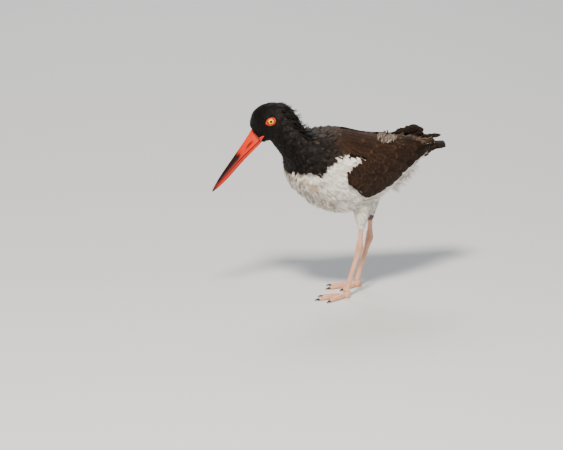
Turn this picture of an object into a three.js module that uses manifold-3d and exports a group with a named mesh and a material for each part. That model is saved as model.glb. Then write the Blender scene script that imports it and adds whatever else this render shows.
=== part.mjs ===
// An American oystercatcher at life size, standing with its neck stretched forward and its bill pointed
// down, as it feeds. Millimetres, +Z up. The bird faces -X, its left side is -Y, and it stands on z = 0.
import * as THREE from "three";
import { mergeVertices } from "three/addons/utils/BufferGeometryUtils.js";
import Module from "manifold-3d";

const wasm = await Module();
wasm.setup();

// Driving dimensions
const BILL_LENGTH = 87.6; // from the face to the tip, along its middle
const HEAD_TURN = 20; // degrees that the head is turned to the bird's right
const TURN_PIVOT_X = -55; // the neck turns about a vertical axis here
const GAP = 0.3; // between pieces that meet
const VANE_THICK = 0.7; // of a feather
const MERGE_LENGTH = 0.05; // edges shorter than this are joined
const ORIGIN_SHIFT = [13.293, 0, 0]; // moves the middle of the box over the origin

// Outline of the body from the face to the end of the tail coverts. Each station is a slice of the bird:
// [back x, back z, belly x, belly z, half width], before the head is turned.
const STATIONS = [
  [-118.4, 212.0, -107.4, 198.2, 7.2],
  [-120.6, 218.0, -104.6, 196.8, 10.8],
  [-120.2, 225.0, -102.8, 197.2, 13.8],
  [-117.4, 232.8, -101.0, 197.8, 16.2],
  [-111.4, 239.0, -99.3, 198.2, 17.6],
  [-102.4, 243.4, -97.6, 198.2, 18.3],
  [-91.4, 244.8, -95.9, 197.4, 18.5],
  [-80.8, 242.4, -94.0, 195.6, 18.5],
  [-71.6, 236.4, -92.0, 193.0, 18.6],
  [-65.0, 228.2, -89.4, 189.4, 19.2],
  [-59.8, 219.6, -85.6, 184.0, 21.0],
  [-53.6, 212.6, -81.4, 176.6, 24.5],
  [-45.6, 208.4, -78.4, 167.4, 29.4],
  [-37.4, 208.4, -75.4, 156.4, 35.0],
  [-28.6, 209.0, -70.4, 144.6, 40.0],
  [-19.0, 208.8, -61.6, 133.4, 43.8],
  [-8.6, 206.8, -48.4, 120.6, 46.0],
  [2.0, 204.2, -33.0, 110.4, 46.6],
  [12.6, 200.6, -13.4, 105.0, 46.0],
  [25.0, 196.8, 9.0, 106.4, 44.4],
  [38.4, 194.0, 31.0, 114.6, 41.4],
  [52.4, 191.8, 51.6, 127.0, 37.0],
  [67.0, 189.4, 70.6, 140.0, 31.0],
  [81.0, 186.4, 88.0, 152.6, 24.6],
  [93.0, 183.2, 102.0, 162.6, 18.8],
  [102.0, 181.0, 112.0, 169.4, 13.6],
];
const LAST = STATIONS.length - 1;
const HEAD_CUT = 9.0; // stations where the head meets the neck and the neck meets the torso
const NECK_CUT = 12.2;
const ROUNDNESS = 0.92; // of a slice: 1 is an ellipse, less is squarer
const HEAD_TURN_FULL = 9; // the turn fades from here to the shoulders
const HEAD_TURN_NONE = 12.6;

const lerp = (a, b, t) => a + (b - a) * t;
const clamp01 = (t) => Math.min(1, Math.max(0, t));
const smooth = (t) => clamp01(t) ** 2 * (3 - 2 * clamp01(t));
const rad = THREE.MathUtils.degToRad;

// A value between rows of a table, on a smooth curve through them.
function through(rows, u, k) {
  const i = Math.min(rows.length - 2, Math.max(0, Math.floor(u)));
  const t = u - i;
  const p = (j) => rows[Math.min(rows.length - 1, Math.max(0, j))][k];
  const [a, b, c, d] = [p(i - 1), p(i), p(i + 1), p(i + 2)];
  return b + 0.5 * t * (c - a + t * (2 * a - 5 * b + 4 * c - d + t * (3 * (b - c) + d - a)));
}

// Turns a point of the head or neck to the bird's right, less and less towards the shoulders.
function turned(x, y, z, u) {
  const share = 1 - smooth((u - HEAD_TURN_FULL) / (HEAD_TURN_NONE - HEAD_TURN_FULL));
  const a = -rad(HEAD_TURN) * share;
  const dx = x - TURN_PIVOT_X;
  return new THREE.Vector3(
    TURN_PIVOT_X + dx * Math.cos(a) - y * Math.sin(a),
    dx * Math.sin(a) + y * Math.cos(a),
    z,
  );
}

// A point on the bird's body: u is the station, v the angle from the back (0) over the left side
// (90 degrees) to the belly (180), and lift the height above the surface.
function onBody(u, v, lift = 0) {
  const [bx, bz, vx, vz, w] = [0, 1, 2, 3, 4].map((k) => through(STATIONS, u, k));
  const half = Math.hypot(bx - vx, bz - vz) / 2;
  const up = [(bx - vx) / (2 * half), (bz - vz) / (2 * half)];
  const c = Math.cos(v);
  const s = Math.sin(v);
  const h = (half + lift) * Math.sign(c) * Math.abs(c) ** ROUNDNESS;
  const y = -(w + lift) * Math.sign(s) * Math.abs(s) ** ROUNDNESS;
  return turned((bx + vx) / 2 + up[0] * h, y, (bz + vz) / 2 + up[1] * h, u);
}

// Closes a stack of rings of points into one body with its faces out.
function loft(rings) {
  const n = rings[0].length;
  const points = rings.flat();
  const middle = (ring) => ring.reduce((a, p) => a.add(p), new THREE.Vector3()).divideScalar(n);
  points.push(middle(rings[0]), middle(rings.at(-1)));
  const faces = [];
  for (let i = 0; i + 1 < rings.length; i++)
    for (let j = 0; j < n; j++) {
      const a = i * n + j;
      const b = i * n + ((j + 1) % n);
      if (points[a].distanceTo(points[b + n]) < points[b].distanceTo(points[a + n]))
        faces.push(a, b, b + n, a, b + n, a + n);
      else faces.push(a, b, a + n, b, b + n, a + n);
    }
  const end = (rings.length - 1) * n;
  for (let j = 0; j < n; j++) {
    faces.push(points.length - 2, (j + 1) % n, j);
    faces.push(points.length - 1, end + j, end + ((j + 1) % n));
  }
  const g = new THREE.BufferGeometry();
  g.setAttribute("position", new THREE.Float32BufferAttribute(points.flatMap((p) => p.toArray()), 3));
  g.setIndex(faces);
  return g;
}

// A closed mesh as a solid that can be joined and cut.
function solid(geometry) {
  const g = geometry.clone();
  for (const name of Object.keys(g.attributes)) if (name !== "position") g.deleteAttribute(name);
  const merged = mergeVertices(g, 1e-4);
  const wanted = {
    numProp: 3,
    vertProperties: new Float32Array(merged.attributes.position.array),
    triVerts: new Uint32Array(merged.index.array),
  };
  const made = new wasm.Manifold(new wasm.Mesh(wanted));
  if (made.volume() > 0) return made;
  for (let i = 0; i < wanted.triVerts.length; i += 3)
    [wanted.triVerts[i + 1], wanted.triVerts[i + 2]] = [wanted.triVerts[i + 2], wanted.triVerts[i + 1]];
  return new wasm.Manifold(new wasm.Mesh(wanted));
}

// The largest closed surface of a solid, so that no scrap or sealed hollow stays.
function largest(s) {
  return s.decompose().sort((a, b) => b.volume() - a.volume())[0];
}

const bird = new THREE.Group();
bird.position.set(...ORIGIN_SHIFT);

// Adds a solid to the bird as a named mesh.
function add(name, s, material) {
  const kept = largest(largest(s).simplify(MERGE_LENGTH));
  const m = kept.getMesh();
  const g = new THREE.BufferGeometry();
  g.setAttribute("position", new THREE.BufferAttribute(new Float32Array(m.vertProperties), 3));
  g.setIndex(new THREE.BufferAttribute(new Uint32Array(m.triVerts), 1));
  g.computeVertexNormals();
  const mesh = new THREE.Mesh(g, material);
  mesh.name = name;
  bird.add(mesh);
  return kept;
}

const finish = (color, roughness) => new THREE.MeshStandardMaterial({ color, roughness, metalness: 0 });
const BLACK_FEATHER = finish(0x17130f, 0.85);
const BROWN_FEATHER = finish(0x35231a, 0.85);
const WHITE_FEATHER = finish(0xe6dfd3, 0.9);
const BILL_RED = finish(0xe8401a, 0.3);
const EYE_YELLOW = finish(0xf2c21e, 0.1);
const RING_RED = finish(0xe5471f, 0.45);
const LEG_PINK = finish(0xe9bfa6, 0.55);
const CLAW_HORN = finish(0x3a2f29, 0.4);

// Head, neck and torso: one smooth body, parted by two thin cuts
const BODY_RINGS = 40;
const BODY_SIDES = 24;
function bodyLoft(grow) {
  const rings = [];
  for (let i = 0; i <= BODY_RINGS; i++) {
    const u = (i / BODY_RINGS) * LAST;
    const ring = [];
    for (let j = 0; j < BODY_SIDES; j++) ring.push(onBody(u, (j / BODY_SIDES) * 2 * Math.PI, grow));
    rings.push(ring);
  }
  if (grow > 0)
    for (const [ring, next] of [
      [rings[0], rings[1]],
      [rings.at(-1), rings.at(-2)],
    ])
      ring.forEach((p, j) => p.add(p.clone().sub(next[j]).setLength(grow)));
  return solid(loft(rings));
}
const body = bodyLoft(0);
const bodyWithGap = bodyLoft(GAP);

// The plane of a station, facing away from the bill: [normal, distance].
function stationPlane(u) {
  const [top, low, side] = [onBody(u, 0), onBody(u, Math.PI), onBody(u, Math.PI / 2)];
  const n = top.clone().sub(low).cross(side.clone().sub(low)).normalize();
  if (n.dot(onBody(u + 1, 0).sub(top)) < 0) n.negate();
  return [n, n.dot(top)];
}
// The part of a solid in front of (-1) or behind (+1) a station, kept half a gap clear of it.
function side(s, u, which) {
  const [n, d] = stationPlane(u);
  const m = n.clone().multiplyScalar(which);
  return s.trimByPlane(m.toArray(), which * d + GAP / 2);
}

// Bill, in a frame along its middle from the face to the tip: rows are
// [share of the length, culmen, mouth line, underside, half width]
const BILL_ROOT = [-112.3, 204.6];
const BILL_DROP = 51.7; // degrees below level
const BILL_ROWS = [
  [-0.09, 9.6, -6.6, -9.0, 6.4],
  [0.0, 9.7, -6.2, -9.6, 6.0],
  [0.16, 8.2, -4.4, -8.4, 4.8],
  [0.4, 6.6, -1.9, -6.3, 3.4],
  [0.68, 5.0, -0.4, -4.9, 2.5],
  [0.82, 3.8, 0.1, -3.7, 1.9],
  [0.91, 2.6, 0.2, -2.4, 1.5],
  [0.97, 1.5, 0.1, -1.2, 1.0],
  [1.0, 0.8, 0.0, -0.6, 0.7],
];
const BILL_STEPS = 18; // along and round each half
const BILL_SIDES = 8;
const MOUTH_GAP = 0.4;
// A point of the bill: along and up from its root in mm, y to the right.
const inHead = (along, up, y) => {
  const a = rad(BILL_DROP);
  const x = BILL_ROOT[0] - along * Math.cos(a) - up * Math.sin(a);
  const z = BILL_ROOT[1] - along * Math.sin(a) + up * Math.cos(a);
  return turned(x, y, z, 0);
};
// One half of the bill between the mouth line and its outer edge: which is 1 for the upper half.
function mandible(which, grow = 0) {
  const rings = [];
  for (let i = 0; i <= BILL_STEPS; i++) {
    const u = (i / BILL_STEPS) * (BILL_ROWS.length - 1);
    const [t, culmen, mouth, low, w] = [0, 1, 2, 3, 4].map((k) => through(BILL_ROWS, u, k));
    const depth = which > 0 ? culmen - mouth : mouth - low;
    const ring = [];
    for (let j = 0; j <= BILL_SIDES; j++) {
      const a = (j / BILL_SIDES) * Math.PI;
      const up = mouth + which * (MOUTH_GAP / 2 - grow * 0.5 + (depth + grow) * Math.sin(a) ** 0.8);
      ring.push(inHead(t * BILL_LENGTH, up, (w + grow) * Math.cos(a)));
    }
    rings.push(ring);
  }
  return solid(loft(rings));
}
const billUpper = mandible(1);
const billLower = mandible(-1);
const billWithGap = mandible(1, GAP).add(mandible(-1, GAP));

// Eyes: a ball in a socket, with a raised ring of bare skin round the part that shows
const EYE = { x: -97.0, z: 225.4, y: 12.4, r: 6.1, opening: 3.9, sides: 14 };
const EYE_RING = { y: 16.3, along: 6.9, high: 5.6, thick: 2.7, tilt: 24 };
// Puts a shape made round the origin at the height y on the side of the head, turned with it.
function atEye(g, y, tilt = 0) {
  g.applyMatrix4(new THREE.Matrix4().makeRotationY(rad(tilt)));
  g.applyMatrix4(new THREE.Matrix4().makeRotationZ(-rad(HEAD_TURN)));
  const at = turned(EYE.x, y, EYE.z, 0);
  g.translate(at.x, at.y, at.z);
  return solid(g);
}
const eyeBall = (s, grow) => atEye(new THREE.SphereGeometry(EYE.r + grow, EYE.sides, EYE.sides / 2), s * EYE.y);
function eyeLid(s, grow) {
  const g = new THREE.SphereGeometry(1, EYE.sides + 2, 6);
  g.rotateX(Math.PI / 2);
  g.scale(EYE_RING.along + grow, EYE_RING.thick + grow, EYE_RING.high + grow);
  return atEye(g, s * EYE_RING.y, -EYE_RING.tilt);
}
let head = side(body, HEAD_CUT, -1).subtract(billWithGap);
for (const [name, s] of [
  ["left", -1],
  ["right", 1],
]) {
  head = head.subtract(eyeLid(s, GAP)).subtract(eyeBall(s, GAP));
  add("eye_" + name, eyeBall(s, 0), EYE_YELLOW);
  const opening = atEye(new THREE.CylinderGeometry(EYE.opening, EYE.opening, 16, EYE.sides), s * (EYE.y + 8));
  add("eye_ring_" + name, eyeLid(s, 0).subtract(eyeBall(s, GAP)).subtract(opening), RING_RED);
}
add("head", head, BLACK_FEATHER);
add("bill_upper", billUpper, BILL_RED);
add("bill_lower", billLower, BILL_RED);
add("neck", side(side(body, HEAD_CUT, 1), NECK_CUT, -1), BLACK_FEATHER);

// Tail: a fan of twelve feathers from the tail coverts. The middle feathers lie on top of the stack, and
// the outer ones are shorter, lower and rolled outwards.
const TAIL = { root: [96, 174.4], tip: [133.0, 176.8], spread: 11, feathers: 12, width: 11, thick: 1.1 };
const TAIL_STACK = { high: 2.6, step: 0.3, sink: 1.3, apart: 6, shorter: 0.06, lower: 1.5, roll: 0.16 };
const TAIL_CUT = 23.2;
add("torso", side(side(body, NECK_CUT, 1), TAIL_CUT, -1), WHITE_FEATHER);
const tailCoverts = side(body, TAIL_CUT, 1);

// A feather: a thin vane along a line of points, each with its own sideways direction and normal, its
// edges bent down a little.
function vane(line, across, normal, width, thick, droop = 0) {
  const rings = line.map((p, i) => {
    const t = i / (line.length - 1);
    const share = vaneWidth(t);
    const d = across[i].clone().setLength((width * share) / 2);
    const n = normal[i].clone().setLength(thick / 2);
    const low = normal[i].clone().setLength(-droop * share * share);
    return [
      p.clone().sub(d).sub(n).add(low),
      p.clone().add(d).sub(n).add(low),
      p.clone().add(d).add(n).add(low),
      p.clone().sub(d).add(n).add(low),
    ];
  });
  return solid(loft(rings));
}
// The width of a vane along its length: narrow at the root, widest past the middle, round at the tip.
function vaneWidth(t) {
  return (0.45 + 0.55 * smooth(t / 0.5)) * Math.sqrt(Math.max(0.02, 1 - (Math.max(0, t - 0.72) / 0.285) ** 2));
}
function tailFan() {
  const pieces = [];
  const [rx, rz] = TAIL.root;
  const [tx, tz] = TAIL.tip;
  for (let i = 0; i < TAIL.feathers; i++) {
    const s = (i / (TAIL.feathers - 1)) * 2 - 1;
    const a = rad(TAIL.spread) * s;
    const length = Math.hypot(tx - rx, tz - rz) * (1 - TAIL_STACK.shorter * s * s);
    const line = [];
    const across = [];
    const normal = [];
    const layer = (1 - Math.abs(s)) * TAIL_STACK.high + (s > 0 ? TAIL_STACK.step : 0) - TAIL_STACK.sink;
    for (const t of [0, 0.5, 0.85, 1]) {
      const r = t * length;
      line.push(
        new THREE.Vector3(
          rx + r * Math.cos(a),
          -s * TAIL_STACK.apart - r * Math.sin(a),
          lerp(rz, tz, t) + layer - TAIL_STACK.lower * s * s * t,
        ),
      );
      across.push(new THREE.Vector3(Math.sin(a), Math.cos(a), TAIL_STACK.roll * s));
      normal.push(new THREE.Vector3(0, -TAIL_STACK.roll * s, 1));
    }
    pieces.push(vane(line, across, normal, TAIL.width, TAIL.thick));
  }
  return pieces;
}
const join = (pieces) => pieces.reduce((a, b) => a.add(b));
const tail = tailCoverts.add(join(tailFan()));
const torsoWithGap = side(bodyWithGap, TAIL_CUT, -1);
add("tail", tail.subtract(torsoWithGap), BROWN_FEATHER);

// Folded wings: a thin shield on the side of the body, with tiers of vanes that overlap like tiles.
// Places on the body are [station, degrees from the back].
const WING_BASE = { inner: 1.1, outer: 3.0, from: 16.4, to: 24.9 };
const WING_TOP = [
  [16.4, 76],
  [17.3, 67],
  [18.0, 57],
  [18.4, 42],
  [19.5, 27],
  [22.0, 25],
  [24.9, 30],
];
const WING_LOW = [
  [16.4, 90],
  [16.9, 99],
  [17.5, 106],
  [18.6, 113],
  [19.6, 119],
  [20.9, 119],
  [21.4, 115],
  [21.9, 105],
  [22.3, 95],
  [23.3, 89],
  [24.9, 83],
];
const TIERS = [
  // [name, count, first root, last root, first tip, last tip, width, lift at the root, lift at the tip]
  ["primaries", 3, [19.6, 96], [19.8, 58], [24.4, 84], [25.0, 46], 15, 2.2, 3.2],
  ["secondaries", 5, [17.1, 88], [19.6, 62], [19.3, 117], [22.8, 90], 16, 2.4, 3.6],
  ["tertials", 3, [18.6, 46], [19.6, 30], [23.3, 68], [24.3, 40], 18, 2.2, 3.4],
  ["greater", 6, [16.8, 86], [19.4, 50], [18.0, 105], [22.2, 78], 14, 2.8, 4.2],
  ["median", 5, [16.5, 82], [18.6, 54], [17.3, 97], [20.6, 68], 12, 3.0, 4.4],
  ["scapulars", 5, [16.2, 50], [17.9, 24], [19.4, 54], [22.2, 36], 16, 2.4, 3.6],
];
// Feathers of the far wing that stand up behind the back, and the ruffled tuft of the near one:
// [root on the body, tip, sideways direction, width]
const RAISED = {
  right: [
    [[22.0, 30], [105.5, 13, 196.0], [-0.5, 0.35, 0.8], 9],
    [[22.3, 36], [112.5, 13, 191.5], [-0.4, 0.4, 0.8], 11],
    [[22.7, 42], [113.5, 14, 185.5], [-0.2, 0.6, 0.75], 12],
    [[23.6, 44], [134, 8.5, 183.4], [0.05, 0.75, 0.65], 6],
  ],
  left: [
    [[20.2, 30], [47, -11, 203.0], [0.5, 0.8, -0.2], 7],
    [[20.6, 32], [53, -9, 202.5], [0.6, 0.7, -0.3], 7],
    [[21.2, 33], [61, -9, 198.0], [0.5, 0.75, -0.4], 7],
  ],
};
function edgeAt(rows, u) {
  const i = Math.max(1, rows.findIndex((r) => r[0] >= u - 1e-9));
  const [a, b] = [rows[i - 1], rows[i]];
  return lerp(a[1], b[1], clamp01((u - a[0]) / (b[0] - a[0])));
}
const SHIELD_STEPS = 14; // along and across the shield
const SHIELD_ACROSS = 6;
const VANE_STEPS = [0, 0.4, 0.82, 1]; // shares of the length of a vane laid on the body
const RAISED_STEPS = [0, 0.5, 0.85, 1];
const CAMBER = 360; // mm; a laid vane's edges droop by its width squared over this
const ROW_BULGE = { root: 0.25, tip: 7 }; // of the middle of a tier: stations forward, degrees down
function wingShield(s) {
  const rings = [];
  for (let i = 0; i <= SHIELD_STEPS; i++) {
    const u = lerp(WING_BASE.from, WING_BASE.to, i / SHIELD_STEPS);
    const high = edgeAt(WING_TOP, u);
    const low = edgeAt(WING_LOW, u);
    const ring = [];
    const at = (j, lift) => onBody(u, s * rad(lerp(high, low, j / SHIELD_ACROSS)), lift);
    for (let j = 0; j <= SHIELD_ACROSS; j++) {
      const bulge = Math.sin((Math.PI * j) / SHIELD_ACROSS) ** 0.5;
      ring.push(at(j, lerp(WING_BASE.inner + VANE_THICK, WING_BASE.outer, bulge)));
    }
    for (let j = SHIELD_ACROSS; j >= 0; j--) ring.push(at(j, WING_BASE.inner));
    rings.push(ring);
  }
  return solid(loft(rings));
}
// One vane laid on the body from a root to a tip, following its curve.
function laidVane(s, root, tip, width, liftRoot, liftTip) {
  const line = [];
  const across = [];
  const normal = [];
  for (const t of VANE_STEPS) {
    const u = lerp(root[0], tip[0], t);
    const v = lerp(root[1], tip[1], t);
    const at = (du, dv, lift) => onBody(u + du, s * rad(v + dv), lift);
    const along = at(0.02 * (tip[0] - root[0]), 0.02 * (tip[1] - root[1]), 0).sub(at(0, 0, 0));
    const n = at(0, 0, 1).sub(at(0, 0, 0)).normalize();
    const cross = n.clone().cross(along).normalize();
    const out = cross.clone().cross(along).normalize();
    line.push(at(0, 0, lerp(liftRoot, liftTip, t ** 0.6)));
    across.push(cross);
    normal.push(out.dot(n) < 0 ? out.negate() : out);
  }
  return vane(line, across, normal, width, VANE_THICK, width ** 2 / CAMBER);
}
// One vane that stands clear of the body.
function raisedVane(s, [root, tip, sideways, width]) {
  const [a, b] = [onBody(root[0], s * rad(root[1]), 1.6), new THREE.Vector3(...tip)];
  const cross = new THREE.Vector3(...sideways);
  const out = cross.clone().cross(b.clone().sub(a)).normalize();
  const line = RAISED_STEPS.map((t) => a.clone().lerp(b, t));
  return vane(line, line.map(() => cross), line.map(() => out), width, VANE_THICK, 0.4);
}
function wing(s, name) {
  const pieces = [wingShield(s)];
  for (const [, count, rootA, rootB, tipA, tipB, width, liftRoot, liftTip] of TIERS)
    for (let i = 0; i < count; i++) {
      const f = i / (count - 1);
      const bend = Math.sin(Math.PI * f);
      const root = [lerp(rootA[0], rootB[0], f) - ROW_BULGE.root * bend, lerp(rootA[1], rootB[1], f)];
      const tip = [lerp(tipA[0], tipB[0], f), lerp(tipA[1], tipB[1], f) + ROW_BULGE.tip * bend];
      pieces.push(laidVane(s, root, tip, width, liftRoot, liftTip - 0.12 * (i % 2)));
    }
  for (const row of RAISED[name]) pieces.push(raisedVane(s, row));
  return join(pieces);
}
for (const [name, s] of [
  ["left", 1],
  ["right", -1],
])
  add("wing_" + name, wing(s, name).subtract(bodyWithGap), BROWN_FEATHER);

// Legs: the feathered thigh, the bare shank down to the ankle, the tarsus, and three toes with claws.
// Rows are [height, radius fore and aft, radius across]; the tarsus and the toes go by the share of their
// length, and the toe's and claw's middles by their own height.
const LEGS = {
  left: { y: -21, ankle: [10, 60], top: [14, 124], toeRoot: [-8.5, 7] },
  right: { y: 23, ankle: [44.5, 60], top: [46, 130], toeRoot: [27, 7] },
};
const THIGH_TOP = [15.5, 12.5];
const THIGH_END = 86;
const THIGH_ROWS = [
  [116, 14.4, 11.6],
  [106, 10.6, 9.2],
  [98, 8.2, 7.1],
  [91, 5.5, 5.0],
  [84, 4.6, 4.2],
];
const SHANK_ROWS = [
  [88, 3.0, 3.0],
  [72, 3.0, 2.85],
  [66, 3.8, 3.5],
  [58, 4.4, 3.9],
];
const TARSUS_ROWS = [
  [-0.04, 4.4, 3.9],
  [0.06, 4.2, 3.5],
  [0.18, 3.05, 2.5],
  [0.8, 2.9, 2.5],
  [0.97, 3.6, 3.3],
];
const FOOT_ROWS = [
  // [behind the root of the toes, height, radius fore and aft, radius across]
  [2, 8.5, 4.2, 4.0],
  [0.5, 3.5, 5.2, 5.0],
  [0, -0.5, 4.6, 4.6],
];
const TOES = [
  // [name, side, degrees outwards, length, radius]
  ["inner", 1, 27, 28, 2.5],
  ["middle", 0, 0, 36, 2.8],
  ["outer", -1, 26, 31, 2.5],
];
const TOE_ROWS = [
  // [share of the length, share of the radius]
  [-0.11, 1.1],
  [0.13, 1.08],
  [0.5, 1.0],
  [0.9, 0.86],
  [1.0, 0.6],
];
const TOE_SINK = 0.93; // height of a toe's middle as a share of its radius, so that it rests on a flat
const CLAW_LENGTH = 6.5;
const CLAW_ROWS = [
  // [share of the length, height, radius up, radius across]
  [0, 1.6, 1.5, 1.3],
  [0.5, 1.5, 1.1, 1.0],
  [1, 0.45, 0.35, 0.35],
];
const WEB = { reach: 13, thick: 1.6 }; // the small web between the outer and middle toes
// A round tube through points given as [x, y, z, radius along X, radius across].
function limb(points, sides = 12) {
  const axis = points.map((p) => new THREE.Vector3(p[0], p[1], p[2]));
  const rings = points.map((p, i) => {
    const dir = axis[Math.min(i + 1, axis.length - 1)].clone().sub(axis[Math.max(i - 1, 0)]).normalize();
    const across = new THREE.Vector3(0, 1, 0);
    const fore = across.clone().cross(dir).normalize();
    const ring = [];
    for (let j = 0; j < sides; j++) {
      const a = (j / sides) * 2 * Math.PI;
      ring.push(
        axis[i].clone().addScaledVector(fore, p[3] * Math.cos(a)).addScaledVector(across, p[4] * Math.sin(a)),
      );
    }
    return ring;
  });
  return solid(loft(rings));
}
for (const [name, leg] of Object.entries(LEGS)) {
  const inward = leg.y < 0 ? 1 : -1;
  const [ax, az] = leg.ankle;
  const [tx, tz] = leg.top;
  const at = (z) => [lerp(ax, tx, (z - az) / (tz - az)), leg.y, z];
  const row = ([z, ...radii]) => [...at(z), ...radii];
  const thigh = limb([row([tz, ...THIGH_TOP]), ...THIGH_ROWS.map(row)]).trimByPlane([0, 0, 1], THIGH_END + GAP / 2);
  add("thigh_" + name, thigh.subtract(torsoWithGap), WHITE_FEATHER);
  const shank = limb(SHANK_ROWS.map(row))
    .trimByPlane([0, 0, -1], -THIGH_END + GAP / 2)
    .trimByPlane([0, 0, 1], az + GAP / 2);
  add("shank_" + name, shank, LEG_PINK);
  const [fx, fz] = leg.toeRoot;
  const down = ([t, ...radii]) => [lerp(ax, fx, t), leg.y, lerp(az, fz, t), ...radii];
  const tarsus = limb(TARSUS_ROWS.map(down));
  const pieces = [limb(FOOT_ROWS.map(([x, z, ...radii]) => [fx + x, leg.y, z, ...radii]))];
  const webCorners = [[fx, leg.y]];
  for (const [toe, sideways, angle, length, r] of TOES) {
    const a = rad(angle) * sideways * inward;
    const out = (d) => [fx - d * Math.cos(a), leg.y + d * Math.sin(a)];
    pieces.push(limb(TOE_ROWS.map(([t, k]) => [...out(length * t), r * k * TOE_SINK, r * k, r * k]), 10));
    const claw = limb(CLAW_ROWS.map(([t, ...sizes]) => [...out(length + GAP + CLAW_LENGTH * t), ...sizes]), 8);
    add("claw_" + name + "_" + toe, claw, CLAW_HORN);
    if (toe !== "inner") webCorners.push(out(WEB.reach));
  }
  pieces.push(wasm.Manifold.hull([0, WEB.thick].flatMap((z) => webCorners.map(([x, y]) => [x, y, z]))));
  const foot = join(pieces).trimByPlane([0, 0, 1], 0);
  add("foot_" + name, foot, LEG_PINK);
  const footWithGap = foot.translate([0, 0, GAP]).add(foot).add(foot.translate([GAP, 0, GAP]));
  add("tarsus_" + name, tarsus.trimByPlane([0, 0, -1], -az + GAP / 2).subtract(footWithGap), LEG_PINK);
}

export default bird;
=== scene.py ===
# A life-size oystercatcher standing with its neck drawn in and its bill pointed down: skin, small feathers,
# flight feathers, bill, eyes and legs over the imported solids. Metres, +Z up; it faces -X, its left is -Y.
import math

import bmesh
import bpy
import numpy as np
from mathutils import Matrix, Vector


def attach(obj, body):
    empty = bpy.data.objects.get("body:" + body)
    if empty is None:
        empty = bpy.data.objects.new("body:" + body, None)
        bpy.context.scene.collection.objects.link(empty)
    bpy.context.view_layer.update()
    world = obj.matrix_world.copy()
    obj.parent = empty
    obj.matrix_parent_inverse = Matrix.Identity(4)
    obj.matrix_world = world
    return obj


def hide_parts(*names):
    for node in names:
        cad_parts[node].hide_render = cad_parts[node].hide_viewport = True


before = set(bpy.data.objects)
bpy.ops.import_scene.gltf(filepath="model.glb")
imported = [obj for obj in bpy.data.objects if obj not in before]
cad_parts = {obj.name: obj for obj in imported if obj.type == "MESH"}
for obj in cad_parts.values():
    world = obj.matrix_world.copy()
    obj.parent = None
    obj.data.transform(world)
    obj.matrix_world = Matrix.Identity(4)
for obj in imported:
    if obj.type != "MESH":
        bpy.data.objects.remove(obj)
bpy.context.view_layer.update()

# Skin of the head, neck, body and tail root
# The real skin is loose and thin over muscle, and shows nowhere: it only backs the feathers. It is one
# closed surface lofted through slices of the bird, and lies inside the solids by the depth of the coat.
MM = 0.001
STATIONS = np.array([  # back x, back z, belly x, belly z, half width, in mm
    [-118.4, 212.0, -107.4, 198.2, 7.2],
    [-120.6, 218.0, -104.6, 196.8, 10.8],
    [-120.2, 225.0, -102.8, 197.2, 13.8],
    [-117.4, 232.8, -101.0, 197.8, 16.2],
    [-111.4, 239.0, -99.3, 198.2, 17.6],
    [-102.4, 243.4, -97.6, 198.2, 18.3],
    [-91.4, 244.8, -95.9, 197.4, 18.5],
    [-80.8, 242.4, -94.0, 195.6, 18.5],
    [-71.6, 236.4, -92.0, 193.0, 18.6],
    [-65.0, 228.2, -89.4, 189.4, 19.2],
    [-59.8, 219.6, -85.6, 184.0, 21.0],
    [-53.6, 212.6, -81.4, 176.6, 24.5],
    [-45.6, 208.4, -78.4, 167.4, 29.4],
    [-37.4, 208.4, -75.4, 156.4, 35.0],
    [-28.6, 209.0, -70.4, 144.6, 40.0],
    [-19.0, 208.8, -61.6, 133.4, 43.8],
    [-8.6, 206.8, -48.4, 120.6, 46.0],
    [2.0, 204.2, -33.0, 110.4, 46.6],
    [12.6, 200.6, -13.4, 105.0, 46.0],
    [25.0, 196.8, 9.0, 106.4, 44.4],
    [38.4, 194.0, 31.0, 114.6, 41.4],
    [52.4, 191.8, 51.6, 127.0, 37.0],
    [67.0, 189.4, 70.6, 140.0, 31.0],
    [81.0, 186.4, 88.0, 152.6, 24.6],
    [93.0, 183.2, 102.0, 162.6, 18.8],
    [102.0, 181.0, 112.0, 169.4, 13.6],
])
LAST = len(STATIONS) - 1
SHIFT_X = 13.293  # mm that the box's middle is moved to the origin
HEAD_TURN = math.radians(20)
TURN_PIVOT_X = -55.0
TURN_FULL, TURN_NONE = 9.0, 12.6  # stations between which the turn fades


def smooth(t):
    t = np.clip(t, 0.0, 1.0)
    return t * t * (3 - 2 * t)


def unit(vectors):
    return vectors / np.linalg.norm(vectors, axis=-1, keepdims=True)


def through(rows, u):
    """Rows of a table between its stations, on a smooth curve."""
    i = np.clip(np.floor(u).astype(int), 0, len(rows) - 2)
    t = (u - i)[..., None]
    a, b, c, d = (rows[np.clip(i + k, 0, len(rows) - 1)] for k in (-1, 0, 1, 2))
    return b + 0.5 * t * (c - a + t * (2 * a - 5 * b + 4 * c - d + t * (3 * (b - c) + d - a)))


def turned(x, y, z, u):
    """Millimetres in the bird's straight frame to metres, with the head turned to the bird's right."""
    a = -HEAD_TURN * (1 - smooth((u - TURN_FULL) / (TURN_NONE - TURN_FULL)))
    dx = x - TURN_PIVOT_X
    return MM * np.stack([
        TURN_PIVOT_X + dx * np.cos(a) - y * np.sin(a) + SHIFT_X,
        dx * np.sin(a) + y * np.cos(a),
        z + 0 * (a + y),
    ], -1)


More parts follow.
